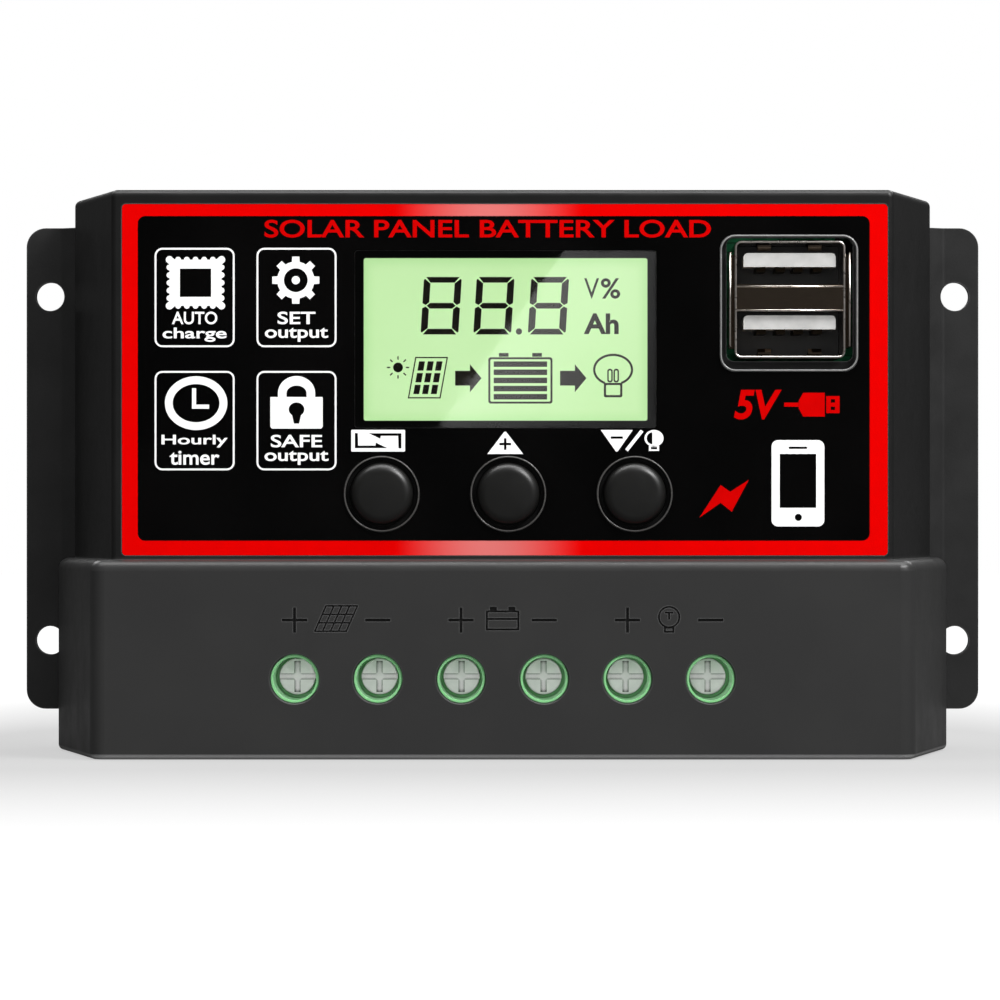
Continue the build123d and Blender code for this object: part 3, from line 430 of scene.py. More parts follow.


# green polyamide of the terminal blocks, with a painted glow along the thin screw tubes that stands in for
# light reaching down them
def greenPolyamide():
    look = {
        "color": (0.175, 0.425, 0.190),
        "otherColor": (0.160, 0.390, 0.175),
        "glowColor": (0.24, 0.62, 0.28, 1),
        "glow": 0.24,
        "glowStart": (0.15, 0.6),
        "glowEnd": (8.0, 9.0),
        "milkiness": 0.3,
        "milkDepth": (0.4, 0.9, 0.4),
        "roughness": (0.38, 0.05),
        "patchSize": 5,
        "grainSize": 0.2,
        "grainDepth": 0.006,
    }
    material = basicFinish("greenPolyamide", look)
    tree = material.node_tree
    shader = tree.nodes["Principled BSDF"]
    shader.inputs["Subsurface Weight"].default_value = look["milkiness"]
    shader.inputs["Subsurface Radius"].default_value = [value * mm for value in look["milkDepth"]]
    shader.inputs["Subsurface Scale"].default_value = 1.0
    shader.inputs["Emission Color"].default_value = look["glowColor"]
    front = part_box("terminal_block_solar")[0].y
    depth = axisValue(tree, tree.nodes["Texture Coordinate"].outputs["Object"], "Y")
    startNear, startFull = (front + value * mm for value in look["glowStart"])
    endFull, endGone = (front + value * mm for value in look["glowEnd"])
    # painted glow, rising just inside the mouths of the screw tubes and gone deeper in
    rise = remap(tree, depth, startNear, startFull, 0, look["glow"])
    fall = remap(tree, depth, endFull, endGone, 1, 0)
    tree.links.new(product(tree, rise, fall), shader.inputs["Emission Strength"])
    return material


# satin rubber of the key caps
def keyRubber():
    return basicFinish("keyRubber", {
        "color": (0.0042, 0.0042, 0.0039),
        "otherColor": (0.0050, 0.0050, 0.0047),
        "roughness": (0.40, 0.03),
        "patchSize": 3,
        "grainSize": 0.1,
        "grainDepth": 0.002,
        "specular": 0.38,
    })


# circuit board: solder mask with copper tracks showing through
def solderMask():
    look = {
        "mask": (0.007, 0.055, 0.023),
        "track": (0.012, 0.095, 0.04),
        "otherTrack": (0.016, 0.165, 0.065),
        "mottleSize": 4,
        "trackPitch": 1.3,
        "trackLength": 7.5,  # in widths of a track
        "trackGap": 0.07,
        "trackHeight": 0.03,
        "roughness": (0.24, 0.34),
    }
    material, tree, shader, coords = startMaterial("solderMask")
    mapping = tree.nodes.new("ShaderNodeMapping")
    mapping.inputs["Rotation"].default_value = (radians(90), 0, 0)
    tree.links.new(coords, mapping.inputs["Vector"])
    bricks = tree.nodes.new("ShaderNodeTexBrick")
    bricks.inputs["Scale"].default_value = 1 / (look["trackPitch"] * mm)
    bricks.inputs["Mortar Size"].default_value = look["trackGap"]
    bricks.inputs["Brick Width"].default_value = look["trackLength"]
    bricks.inputs["Row Height"].default_value = 1.0
    tree.links.new(mapping.outputs["Vector"], bricks.inputs["Vector"])
    gap = bricks.outputs["Fac"]
    mottle = patchy(tree, coords, look["mottleSize"])
    track = mixColors(tree, mottle, look["track"], look["otherTrack"])
    tree.links.new(mixColors(tree, gap, track, look["mask"]), shader.inputs["Base Color"])
    tree.links.new(remap(tree, mottle, 0, 1, *look["roughness"]), shader.inputs["Roughness"])
    addBump(tree, shader, remap(tree, gap, 0, 1, 1, 0), look["trackHeight"])
    return material


# turned brass of the standoffs: straight fine bands along them
def turnedBrass():
    look = {
        "color": (0.72, 0.55, 0.28),
        "otherColor": (0.58, 0.43, 0.2),
        "pitch": 0.25,
        "depth": 0.01,
        "roughness": (0.25, 0.35),
    }
    material, tree, shader, coords = startMaterial("turnedBrass")
    waves = tree.nodes.new("ShaderNodeTexWave")
    waves.bands_direction = "Y"
    waves.inputs["Scale"].default_value = tau / (look["pitch"] * mm) / 20
    waves.inputs["Distortion"].default_value = 0.2
    tree.links.new(coords, waves.inputs["Vector"])
    bands = waves.outputs["Fac"]
    tree.links.new(mixColors(tree, bands, look["color"], look["otherColor"]), shader.inputs["Base Color"])
    roughen(tree, shader, cloudy(tree, coords, 2), *look["roughness"])
    addBump(tree, shader, bands, look["depth"])
    shader.inputs["Metallic"].default_value = 1.0
    return material


def plainMoulding(name, color, rough):
    # small moulded pieces, with a painted highlight along their edges
    return basicFinish(name, {
        "color": color,
        "otherColor": tuple(c * 0.82 for c in color),
        "paintedEdgeShading": tuple(min(1, c * 1.5 + 0.01) for c in color),
        "edgeHighlightWidth": 0.08,
        "roughness": (rough, 0.06),
        "patchSize": 2.2,
        "grainSize": 0.15,
        "grainDepth": 0.006,
    })


def dullMetal(name, color, rough):
    # plain plated or bare metal
    return basicFinish(name, {
        "color": color,
        "otherColor": tuple(c * 0.8 for c in color),
        "roughness": (rough, 0.08),
        "patchSize": 1.2,
        "grainSize": 0.2,
        "grainDepth": 0.004,
        "metallic": 1.0,
    })


redBorder = borderInk()
redInk = inkFinish("redInk", (0.43, 0.0, 0.0), (0.39, 0.0, 0.0))
whiteInk = inkFinish("whiteInk", (0.74, 0.74, 0.735), (0.70, 0.70, 0.70))
segmentInk = inkFinish("segmentInk", (0.016, 0.012, 0.008), (0.022, 0.017, 0.012))
lipNickel = nickelPlate("lipNickel", (0.93, 0.87, 0.81), 0.3)
capRubber = keyRubber()
print("finishes made")


def dress(material, *nodes):
    # gives carried-over nodes a finish
    for node in nodes:
        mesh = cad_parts[node].data
        mesh.materials.clear()
        mesh.materials.append(material)


# colour and roughness of the small moulded pieces, and the nodes that have them
mouldings = {
    "frostedGuide": ((0.72, 0.86, 0.62), 0.5, ("lcd_backlight",)),
    "holderWhite": ((0.72, 0.72, 0.69), 0.45, ("lcd_holder",)),
    "socketBlack": ((0.018, 0.018, 0.018), 0.45, ("usb_insulator",)),
    "tongueWhite": ((0.46, 0.46, 0.45), 0.35, ("usb_tongue_upper", "usb_tongue_lower")),
    "siliconePad": ((0.30, 0.34, 0.38), 0.7, ("thermal_pad",)),
    "epoxyBlack": ((0.016, 0.016, 0.017), 0.5, ("power_bodies", "microcontroller", "regulator_chip")),
    "sleeveBlue": ((0.012, 0.025, 0.10), 0.25, ("capacitor_sleeves",)),
    "ferrite": ((0.045, 0.045, 0.048), 0.6, ("coil_core",)),
    "chipCeramic": ((0.22, 0.17, 0.12), 0.5, ("chip_parts",)),
    "dippedGreen": ((0.035, 0.11, 0.06), 0.3, ("thermistor",)),
    "switchBlack": ((0.014, 0.014, 0.014), 0.45, ("switch_bodies",)),
    "plungerBlack": ((0.02, 0.02, 0.02), 0.45, [f"switch_plunger_{key}" for key in keys]),
}
# and the same for the metal ones
metals = {
    "darkContact": ((0.06, 0.045, 0.03), 0.4, ("usb_contacts",)),
    "brassBar": ((0.70, 0.56, 0.34), 0.35, ("contact_bars",)),
    "zincPlate": ((0.60, 0.60, 0.58), 0.35, ("case_screws", "board_screws", "power_screws")),
    "tinnedTab": ((0.62, 0.62, 0.61), 0.35, ("power_tabs",)),
    "tinnedPin": ((0.66, 0.65, 0.62), 0.28, ("lcd_pins", "switch_pins", "through_leads", "chip_legs")),
    "canAluminium": ((0.72, 0.72, 0.73), 0.3, ("capacitor_cans",)),
    "shuntWire": ((0.62, 0.36, 0.22), 0.3, ("current_shunt",)),
    "switchSteel": ((0.64, 0.64, 0.62), 0.35, ("switch_covers",)),
    "clampSteel": ((0.55, 0.55, 0.53), 0.4, [f"terminal_clamp_{number}" for number in range(1, 7)]),
}
dress(charcoalMoulding(), "front_case")
dress(powderCoat(), "base_plate")
dress(blackFilm(), "face_label")
dress(clearAcrylic(), "lcd_window")
dress(litDisplay(), "lcd_glass")
dress(nickelPlate("socketNickel", (0.46, 0.36, 0.27), 0.12, (1, 1, 6)), "usb_shell")
dress(solderMask(), "main_board")
dress(turnedBrass(), "board_standoffs")
dress(greenPolyamide(), *(f"terminal_block_{pair}" for pair in ("solar", "battery", "load")))
dress(screwPlate(), *(f"terminal_screw_{number}" for number in range(1, 7)))
for name, (color, rough, nodes) in mouldings.items():
    dress(plainMoulding(name, color, rough), *nodes)
for name, (color, rough, nodes) in metals.items():
    dress(dullMetal(name, color, rough), *nodes)
print("carried-over nodes dressed")


# outlines for the printing, in millimetres across (x) and up (z) from a chosen centre
def boxLoop(x, z, width, height, radius=0.0):
    if not radius:
        w, h = width / 2, height / 2
        return [(x - w, z - h), (x + w, z - h), (x + w, z + h), (x - w, z + h)]
    points = []
    for corner, (sx, sz) in enumerate(((1, 1), (-1, 1), (-1, -1), (1, -1))):
        for step in range(7):
            angle = (corner + step / 6) * pi / 2
            points.append((
                x + sx * (width / 2 - radius) + radius * cos(angle),
                z + sz * (height / 2 - radius) + radius * sin(angle),
            ))
    return points


def ovalLoop(x, z, radiusX, radiusZ=None, count=56):
    radiusZ = radiusZ or radiusX
    return [(x + radiusX * cos(tau * i / count), z + radiusZ * sin(tau * i / count)) for i in range(count)]


def arcLoop(x, z, radiusX, radiusZ, start, end, steps):
    # part of an oval, from one angle to another in degrees
    angles = [radians(start + (end - start) * i / steps) for i in range(steps + 1)]
    return [(x + radiusX * cos(angle), z + radiusZ * sin(angle)) for angle in angles]


def strokeLoop(x0, z0, x1, z1, width):
    along = Vector((x1 - x0, z1 - z0)).normalized() * (width / 2)
    ax, az = -along.y, along.x
    return [(x0 + ax, z0 + az), (x0 - ax, z0 - az), (x1 - ax, z1 - az), (x1 + ax, z1 + az)]


def moved(loops, x, z):
    return [[(px + x, pz + z) for px, pz in loop] for loop in loops]


labelLow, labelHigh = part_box("face_label")
inkThickness = 0.02
labelSpot = centreOf("face_label")
labelSpot.y = labelLow.y
glassSpot = centreOf("lcd_glass")
glassSpot.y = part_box("lcd_glass")[0].y


def makePiece(name, work, material):
    # turns a bmesh into an object of the scene
    mesh = bpy.data.meshes.new(name)
    work.to_mesh(mesh)
    work.free()
    mesh.materials.append(material)
    piece = bpy.data.objects.new(name, mesh)
    bpy.context.scene.collection.objects.link(piece)
    return piece


def meshOf(curve):
    # the mesh of a curve or of lettering, which are both let go
    holder = bpy.data.objects.new(curve.name, curve)
    mesh = bpy.data.meshes.new_from_object(holder)
    bpy.data.objects.remove(holder)
    bpy.data.curves.remove(curve)
    return mesh


def placeFlat(name, meshes, spot, material):
    # joins flat meshes drawn in x and y, and stands them up on the face at spot
    work = bmesh.new()
    for mesh in meshes:
        work.from_mesh(mesh)
        bpy.data.meshes.remove(mesh)
    bmesh.ops.remove_doubles(work, verts=work.verts, dist=1e-7)
    bmesh.ops.scale(work, vec=(mm, mm, mm), verts=work.verts)
    bmesh.ops.rotate(work, cent=(0, 0, 0), matrix=Matrix.Rotation(radians(90), 3, "X"), verts=work.verts)
    lowest = max(v.co.y for v in work.verts)
    bmesh.ops.translate(work, vec=spot - Vector((0, lowest, 0)), verts=work.verts)
    piece = makePiece(name, work, material)
    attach(piece, "controller")


def flatMesh(loops):
    # fills closed outlines, with inner ones as holes
    curve = bpy.data.curves.new("outline", "CURVE")
    curve.dimensions = "2D"
    curve.fill_mode = "BOTH"
    curve.extrude = inkThickness / 2
    for loop in loops:
        spline = curve.splines.new("POLY")
        spline.points.add(len(loop) - 1)
        for point, (x, z) in zip(spline.points, loop):
            point.co = (x, z, 0, 1)
        spline.use_cyclic_u = True
    return meshOf(curve)


def letterMesh(text, x, z, width, height, boldness=0.01, shear=0.0):
    # lettering fitted to a box of the given size, centred on x and z
    curve = bpy.data.curves.new("lettering", "FONT")
    curve.body = text
    curve.size = 1.0
    curve.offset = boldness
    curve.extrude = 0.001
    curve.shear = shear
    mesh = meshOf(curve)
    xs = [v.co.x for v in mesh.vertices]
    ys = [v.co.y for v in mesh.vertices]
    wide, high = max(xs) - min(xs), max(ys) - min(ys)
    scale = Vector((width / wide, height / high, inkThickness / 0.002))
    shift = Vector((x - scale.x * (max(xs) + min(xs)) / 2, z - scale.y * (max(ys) + min(ys)) / 2, 0))
    mesh.transform(Matrix.Translation(shift) @ Matrix.Diagonal((*scale, 1)))
    return mesh


def printLabel(name, loopGroups, material, letters=()):
    meshes = [flatMesh(loops) for loops in loopGroups] + [letterMesh(*line) for line in letters]
    placeFlat(name, meshes, labelSpot, material)


def labelBorder():
    look = {"left": 2.1, "right": 2.4, "top": 1.6, "bottom": 1.95, "innerRadius": 1.0}
    width, height = (labelHigh.x - labelLow.x) / mm, (labelHigh.z - labelLow.z) / mm
    innerWidth = width - look["left"] - look["right"]
    innerHeight = height - look["top"] - look["bottom"]
    shiftX = (look["left"] - look["right"]) / 2
    shiftZ = (look["bottom"] - look["top"]) / 2
    outer = boxLoop(0, 0, width, height, 0.5)
    inner = boxLoop(shiftX, shiftZ, innerWidth, innerHeight, look["innerRadius"])
    printLabel("labelBorder", [[outer, inner]], redBorder)


def titleLettering():
    look = {"x": -2.3, "z": 20.3, "width": 60.0, "height": 2.4, "boldness": 0.016}
    printLabel("titleLettering", [], redInk, [("SOLAR PANEL BATTERY LOAD", *look.values())])


def chipIcon():
    look = {
        "width": 7.0,
        "height": 6.2,
        "bumps": 5,
        "bumpRadius": 0.4,
        "cornerRadius": 0.5,
        "inner": (4.2, 3.8),
        "shift": (0.12, 1.98),
    }
    w, h = look["width"] / 2, look["height"] / 2
    small, large = look["bumpRadius"], look["cornerRadius"]
    corners = [(w, -h), (w, h), (-w, h), (-w, -h)]
    outline = []
    for side in range(4):
        (x0, z0), (x1, z1) = corners[side], corners[(side + 1) % 4]
        start = -90 + 90 * side
        outline += arcLoop(x0, z0, large, large, start - 60, start + 120, 6)
        for bump in range(look["bumps"]):
            share = (bump + 1) / (look["bumps"] + 1)
            x, z = x0 + (x1 - x0) * share, z0 + (z1 - z0) * share
            outline += arcLoop(x, z, small, small, start, start + 180, 5)
    return moved([outline, boxLoop(0, 0, *look["inner"])], *look["shift"])


def gearIcon():
    look = {
        "teeth": 8,
        "outer": 3.2,
        "root": 2.5,
        "toothAngle": 0.21,
        "tipAngle": 0.15,
        "hole": 1.6,
        "hub": 0.55,
        "shift": (-0.1, 2.33),
    }
    outer, root, wide, narrow = look["outer"], look["root"], look["toothAngle"], look["tipAngle"]
    pitch = tau / look["teeth"]
    outline = []
    for tooth in range(look["teeth"]):
        middle = pitch * tooth
        turns = [(-wide, root), (-narrow, outer), (narrow, outer), (wide, root)]
        turns += [(wide + step / 4 * (pitch - 2 * wide), root) for step in (1, 2, 3)]
        outline += [(radius * cos(middle + turn), radius * sin(middle + turn)) for turn, radius in turns]
    return moved([outline, ovalLoop(0, 0, look["hole"]), ovalLoop(0, 0, look["hub"])], *look["shift"])


def clockIcon():
    look = {
        "radii": (4.2, 3.62),
        "ring": 1.05,
        "hand": 0.55,
        "handTop": 2.0,
        "handBottom": -0.75,
        "handEnd": 1.75,
        "shift": (0.2, 2.35),
    }
    rx, rz = look["radii"]
    t, top, bottom, end = look["hand"], look["handTop"], look["handBottom"], look["handEnd"]
    hands = [(-t, top), (-t, bottom), (end, bottom), (end, bottom + t), (0, bottom + t), (0, top)]
    face = ovalLoop(0, 0, rx - look["ring"], rz - look["ring"])
    return moved([ovalLoop(0, 0, rx, rz), face, hands], *look["shift"])


def lockIcon():
    look = {
        "body": (7.04, 4.25),
        "bodyTop": 3.175,
        "bodyCorner": (0.22, 0.25),
        "shackle": (2.5, 1.35),
        "shackleTop": 6.0,
        "squash": (0.92, 0.75),
        "keyhole": (1.05, 0.945),
        "keyholeZ": 1.5,
        "slot": (0.35, 1.9),
    }
    outer, inner = look["shackle"]
    outerSquash, innerSquash = look["squash"]
    top, side = look["bodyTop"], look["body"][0] / 2
    bottom = top - look["body"][1]
    cutX, cutZ = look["bodyCorner"]
    centreZ = look["shackleTop"] - outer * outerSquash
    outline = arcLoop(0, centreZ, outer, outer * outerSquash, 0, 180, 24)
    outline += [(-outer, top), (-side, top), (-side, bottom + cutZ), (-side + cutX, bottom)]
    outline += [(side - cutX, bottom), (side, bottom + cutZ), (side, top), (outer, top)]
    hole = arcLoop(0, centreZ, inner, inner * innerSquash, 0, 180, 16)
    hole += [(-inner, top), (inner, top)]
    z = look["keyholeZ"]
    slotHalf, slotDrop = look["slot"]
    key = arcLoop(0, z, *look["keyhole"], -55, 235, 24)
    key += [(-slotHalf, z - slotDrop), (slotHalf, z - slotDrop)]
    return [outline, hole, key]


def settingTiles():
    look = {
        "size": (10.75, 13.35),
        "radius": 1.05,
        "line": 0.24,
        "upperLine": (-2.75, 1.7),
        "lowerLine": (-5.0, 1.9),
        "boldness": 0.016,
    }
    tiles = (
        ("charge", -41.7, 11.05, chipIcon(), (("AUTO", 6.1), ("charge", 8.6))),
        ("level", -28.0, 11.05, gearIcon(), (("SET", 5.1), ("output", 8.5))),
        ("timer", -41.7, -5.5, clockIcon(), (("Hourly", 8.9), ("timer", 6.7))),
        ("guard", -28.0, -5.5, lockIcon(), (("SAFE", 6.9), ("output", 8.6))),
    )
    width, height = look["size"]
    radius, line = look["radius"], look["line"]
    for tile, x, z, icon, words in tiles:
        outer = boxLoop(x, z, width, height, radius)
        inner = boxLoop(x, z, width - 2 * line, height - 2 * line, radius - line)
        printLabel(f"{tile}TileFrame", [[outer, inner]], whiteInk)
        printLabel(f"{tile}TileIcon", [moved(icon, x, z)], whiteInk)
        lines = []
        for (text, textWidth), (drop, textHeight) in zip(words, (look["upperLine"], look["lowerLine"])):
            lines.append((text, x, z + drop, textWidth, textHeight, look["boldness"]))
        printLabel(f"{tile}TileWords", [], whiteInk, lines)


def keyIcons():
    look = {
        "z": -8.2,
        "menuX": -17.03,
        "plate": (7.24, 2.93, 0.15),
        "upX": 0.05,
        "plus": (0.78, 0.17),
        "plusDrop": 0.45,
        "downX": 15.05,
        "minus": (0.42, 1.65, 0.32),
        "stroke": (16.35, -9.5, 18.45, -6.85, 0.46),
        "lampX": 20.05,
        "lampZ": -7.87,
        "lamp": (1.28, 1.12),
        "lampShine": (0.76, 0.8),
        "lampShineShift": 0.22,
        "lampFoot": (-9.22, 1.37, 0.7),
        "lampFootHole": (-9.2, 0.82, 0.32),
    }
    z = look["z"]
    # menu: a white plate with two hooks cut in it, which leave a bolt between them
    hook = [(-3.13, 1.03), (-2.74, 1.03), (-2.68, -0.65), (-0.36, -0.65), (-0.3, -0.26)]
    hook += [(1.26, -1.0), (-3.13, -1.0)]
    otherHook = [(-px, -pz) for px, pz in hook]
    menu = [boxLoop(0, 0, *look["plate"]), hook, otherHook]
    printLabel("menuKeyIcon", [moved(menu, look["menuX"], z)], whiteInk)
    # up: a triangle with a plus cut in it
    a, b = look["plus"]
    plus = [(a, -b), (a, b), (b, b), (b, a), (-b, a), (-b, b)]
    plus += [(-px, -pz) for px, pz in plus]
    triangle = [(-2.4, -1.78), (2.4, -1.78), (0.12, 1.2), (-0.12, 1.2)]
    up = [triangle, *moved([plus], 0, -look["plusDrop"])]
    printLabel("upKeyIcon", [moved(up, look["upX"], z)], whiteInk)
    # down: a hanging triangle, a stroke and a lamp
    hanging = [(-2.15, 1.45), (2.15, 1.45), (0.12, -1.45), (-0.12, -1.45)]
    printLabel("downKeyIcon", [moved([hanging, boxLoop(0, *look["minus"])], look["downX"], z)], whiteInk)
    printLabel("keyIconStroke", [[strokeLoop(*look["stroke"])]], whiteInk)
    x, z = look["lampX"], look["lampZ"]
    shine = arcLoop(x - look["lampShineShift"], z, *look["lampShine"], 90, 270, 12)
    foot = [boxLoop(x, *look["lampFoot"]), boxLoop(x, *look["lampFootHole"])]
    printLabel("lampKeyIcon", [[ovalLoop(x, z, *look["lamp"]), shine], foot], whiteInk)


def portMark():
    # "5V" on a short cord that ends in a plug
    look = {
        "z": -3.35,
        "letters": (34.0, 6.4, 4.0),
        "boldness": 0.03,
        "lean": 0.2,
        "cord": (38.55, 2.0, 0.55),
        "plugSpan": (39.5, 43.0),
        "plugTaper": 0.6,
        "plugHalf": (0.5, 1.6),
        "tip": (44.1, 1.8, 2.3),
        "tipHole": (0.55, 0.45),
        "tipHoleStep": 0.5,
    }
    z = look["z"]
    letterX, letterWidth, letterHeight = look["letters"]
    letters = letterMesh("5V", letterX, z, letterWidth, letterHeight, look["boldness"], look["lean"])
    cordX, cordLength, cordWidth = look["cord"]
    start, end = look["plugSpan"]
    neck, full = look["plugHalf"]
    shoulder = start + look["plugTaper"]
    plug = [(start, -neck), (shoulder, -full), (end, -full), (end, full), (shoulder, full), (start, neck)]
    tipX, tipWidth, tipHeight = look["tip"]
    tip = [boxLoop(tipX, z, tipWidth, tipHeight)]
    tip += [boxLoop(tipX, z + side * look["tipHoleStep"], *look["tipHole"]) for side in (1, -1)]
    groups = (moved([plug], 0, z), tip, [boxLoop(cordX, z, cordLength, cordWidth)])
    meshes = [flatMesh(loops) for loops in groups]
    placeFlat("portMark", [*meshes, letters], labelSpot, redInk)


def chargeMarks():
    look = {
        "x": 39.4,
        "phone": (-13.92, 7.1, 11.6, 0.85),
        "screen": (-13.6, 4.9, 7.25),
        "ear": (-9.15, 2.5, 0.3, 0.12),
        "homeKey": (39.45, -18.5, 0.48),
    }
    bolt = [(26.15, -18.55), (29.0, -14.15), (30.3, -15.05), (32.8, -13.45), (30.5, -17.75), (29.0, -16.55)]
    printLabel("boltMark", [[bolt]], redInk)
    phone = [boxLoop(look["x"], *look[part]) for part in ("phone", "screen", "ear")]
    printLabel("phoneMark", [[*phone, ovalLoop(*look["homeKey"])]], whiteInk)


labelBorder()
titleLettering()
settingTiles()
keyIcons()
portMark()
chargeMarks()
print("label printed")


# the display's segments, in millimetres from the centre of the glass
def printGlass(name, loopGroups, letters=()):
    meshes = [flatMesh(loops) for loops in loopGroups] + [letterMesh(*line) for line in letters]
    placeFlat(name, meshes, glassSpot, segmentInk)


def digitLoops(x, z):
    look = {"width": 5.1, "height": 7.75, "thick": 0.92, "bar": 0.76, "gap": 0.1, "lean": 0.062}
    w, h, t = look["width"] / 2, look["height"] / 2, look["thick"]
    b, g = look["bar"], look["gap"]
    m = b / 2
    loops = []
    for side in (1, -1):  # top and bottom bars
        high, low = side * h, side * (h - b)
        loops.append([(-w + g + 0.2, high), (w - g - 0.2, high), (w - t, low), (-w + t, low)])
    loops.append([
        (-w + t * 0.55 + g, 0), (-w + t + g, m), (w - t - g, m),
        (w - t * 0.55 - g, 0), (w - t - g, -m), (-w + t + g, -m),
    ])
    for sx in (1, -1):
        for sz in (1, -1):
            loops.append([
                (sx * w, sz * (h - g - 0.3)), (sx * (w - 0.15), sz * (h - g - 0.15)),
                (sx * (w - t), sz * (h - b - g)), (sx * (w - t), sz * (m + g)),
                (sx * (w - t * 0.5), sz * g), (sx * w, sz * (g + 0.25)),
            ])
    return [[(x + px + look["lean"] * pz, z + pz) for px, pz in loop] for loop in loops]


def displayDigits():
    look = {"columns": (-8.68, -1.57, 5.78), "z": 4.57, "point": (1.8, 1.1, 0.42)}
    groups = [digitLoops(x, look["z"]) for x in look["columns"]]
    printGlass("displayDigits", [*groups, [ovalLoop(*look["point"])]])


def displayUnits():
    # place, size and boldness of each
    look = {
        "V": (11.6, 6.9, 2.0, 2.75, 0.0),
        "%": (14.15, 6.9, 2.6, 2.75, 0.015),
        "Ah": (12.9, 2.15, 4.7, 2.8, 0.03),
    }
    printGlass("displayUnits", [], [(text, *place) for text, place in look.items()])


def displaySun():
    look = {"x": -14.5, "z": -3.75, "radius": 0.66, "rays": 8, "rayFrom": 1.05, "rayTo": 1.5, "line": 0.17}
    x, z, near, far = look["x"], look["z"], look["rayFrom"], look["rayTo"]
    groups = [[ovalLoop(x, z, look["radius"])]]
    for ray in range(look["rays"]):
        c, s = cos(tau * ray / look["rays"]), sin(tau * ray / look["rays"])
        groups.append([strokeLoop(x + near * c, z + near * s, x + far * c, z + far * s, look["line"])])
    printGlass("displaySun", groups)


def displayPanel():
    look = {
        "x": -10.47,
        "z": -5.13,
        "width": 4.42,
        "height": 5.6,
        "lean": 0.18,
        "line": 0.17,
        "cell": (0.8, 1.25),
        "cellPitch": (1.18, 1.58),
    }

    def leaning(loop):
        return [(look["x"] + px + look["lean"] * pz, look["z"] + pz) for px, pz in loop]

    w, h, t = look["width"], look["height"], 2 * look["line"]
    pitchX, pitchZ = look["cellPitch"]
    groups = [[leaning(boxLoop(0, 0, w, h)), leaning(boxLoop(0, 0, w - t, h - t))]]
    for column in (-1, 0, 1):
        for row in (-1, 0, 1):
            groups.append([leaning(boxLoop(column * pitchX, row * pitchZ, *look["cell"]))])
    printGlass("displayPanel", groups)


def displayArrows():
    look = {"starts": (-6.8, 7.35), "z": -5.2, "length": 3.55, "head": 1.55, "half": 0.99, "wing": 1.88}
    tip, half, wing = look["length"], look["half"], look["wing"]
    neck = tip - look["head"]
    arrow = [(0, -half), (neck, -half), (neck, -wing), (tip, 0), (neck, wing), (neck, half), (0, half)]
    printGlass("displayArrows", [moved([arrow], x, look["z"]) for x in look["starts"]])


def displayBattery():
    look = {
        "x": 2.0,
        "z": -5.5,
        "size": (8.65, 6.25),
        "line": 0.27,
        "bars": 5,
        "bar": (7.2, 0.74),
        "pitch": 1.1,
        "post": (1.3, 0.5),
        "postSpread": 2.25,
        "postRise": 0.32,
    }
    x, z = look["x"], look["z"]
    w, h = look["size"]
    t = 2 * look["line"]
    groups = [[boxLoop(x, z, w, h, 0.35), boxLoop(x, z, w - t, h - t, 0.2)]]
    for bar in range(look["bars"]):
        level = z + (bar - (look["bars"] - 1) / 2) * look["pitch"]
        groups.append([boxLoop(x, level, *look["bar"])])
    for side in (-1, 1):
        groups.append([boxLoop(x + side * look["postSpread"], z + h / 2 + look["postRise"], *look["post"])])
    printGlass("displayBattery", groups)


def displayLamp():
    look = {
        "x": 14.5,
        "z": -4.05,
        "radii": (2.7, 2.15),
        "line": 0.3,
        "neckGap": 26,  # half the open angle at the neck, in degrees
        "foot": (2.5, 1.95),
        "footDrop": 2.75,
        "wire": (0.74, 1.85, 0.35),
        "wireHole": (0.34, 1.4, 0.16),
        "wireSpread": 0.42,
        "wireDrop": 0.8,
    }
    x, z, t = look["x"], look["z"], look["line"]
    rx, rz = look["radii"]
    start, end = look["neckGap"] - 90, 270 - look["neckGap"]
    inner = arcLoop(x, z, rx - t, rz - t, end, start, 40)
    width, height = look["foot"]
    footZ = z - look["footDrop"]
    foot = [boxLoop(x, footZ, width, height, 0.25), boxLoop(x, footZ, width - 2 * t, height - 2 * t, 0.12)]
    groups = [[arcLoop(x, z, rx, rz, start, end, 40) + inner], foot]
    for side in (-1, 1):
        spot = (x + side * look["wireSpread"], z - look["wireDrop"])
        groups.append([boxLoop(*spot, *look[part]) for part in ("wire", "wireHole")])
    printGlass("displayLamp", groups)


displayDigits()
displayUnits()
displaySun()
displayPanel()
displayArrows()
displayBattery()
displayLamp()
print("display drawn")


# turned, wound and beaded pieces
def finishPiece(name, work, material, body, replaced=()):
    bmesh.ops.remove_doubles(work, verts=work.verts, dist=1e-7)
    bmesh.ops.recalc_face_normals(work, faces=work.faces)
    for face in work.faces:
        face.smooth = True
    piece = makePiece(name, work, material)
    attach(piece, body)
    if replaced:
        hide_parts(*replaced)
    return piece


def spunProfile(work, points, centre, steps=96):
    # points are (radius, y) in metres, turned about the line along Y through centre
    verts = [work.verts.new((centre.x + radius, y, centre.z)) for radius, y in points]
    edges = [work.edges.new(pair) for pair in zip(verts, verts[1:])]
    bmesh.ops.spin(
        work, geom=verts + edges, cent=centre, axis=(0, 1, 0), angle=tau, steps=steps, use_merge=True,
        use_duplicate=False,
    )


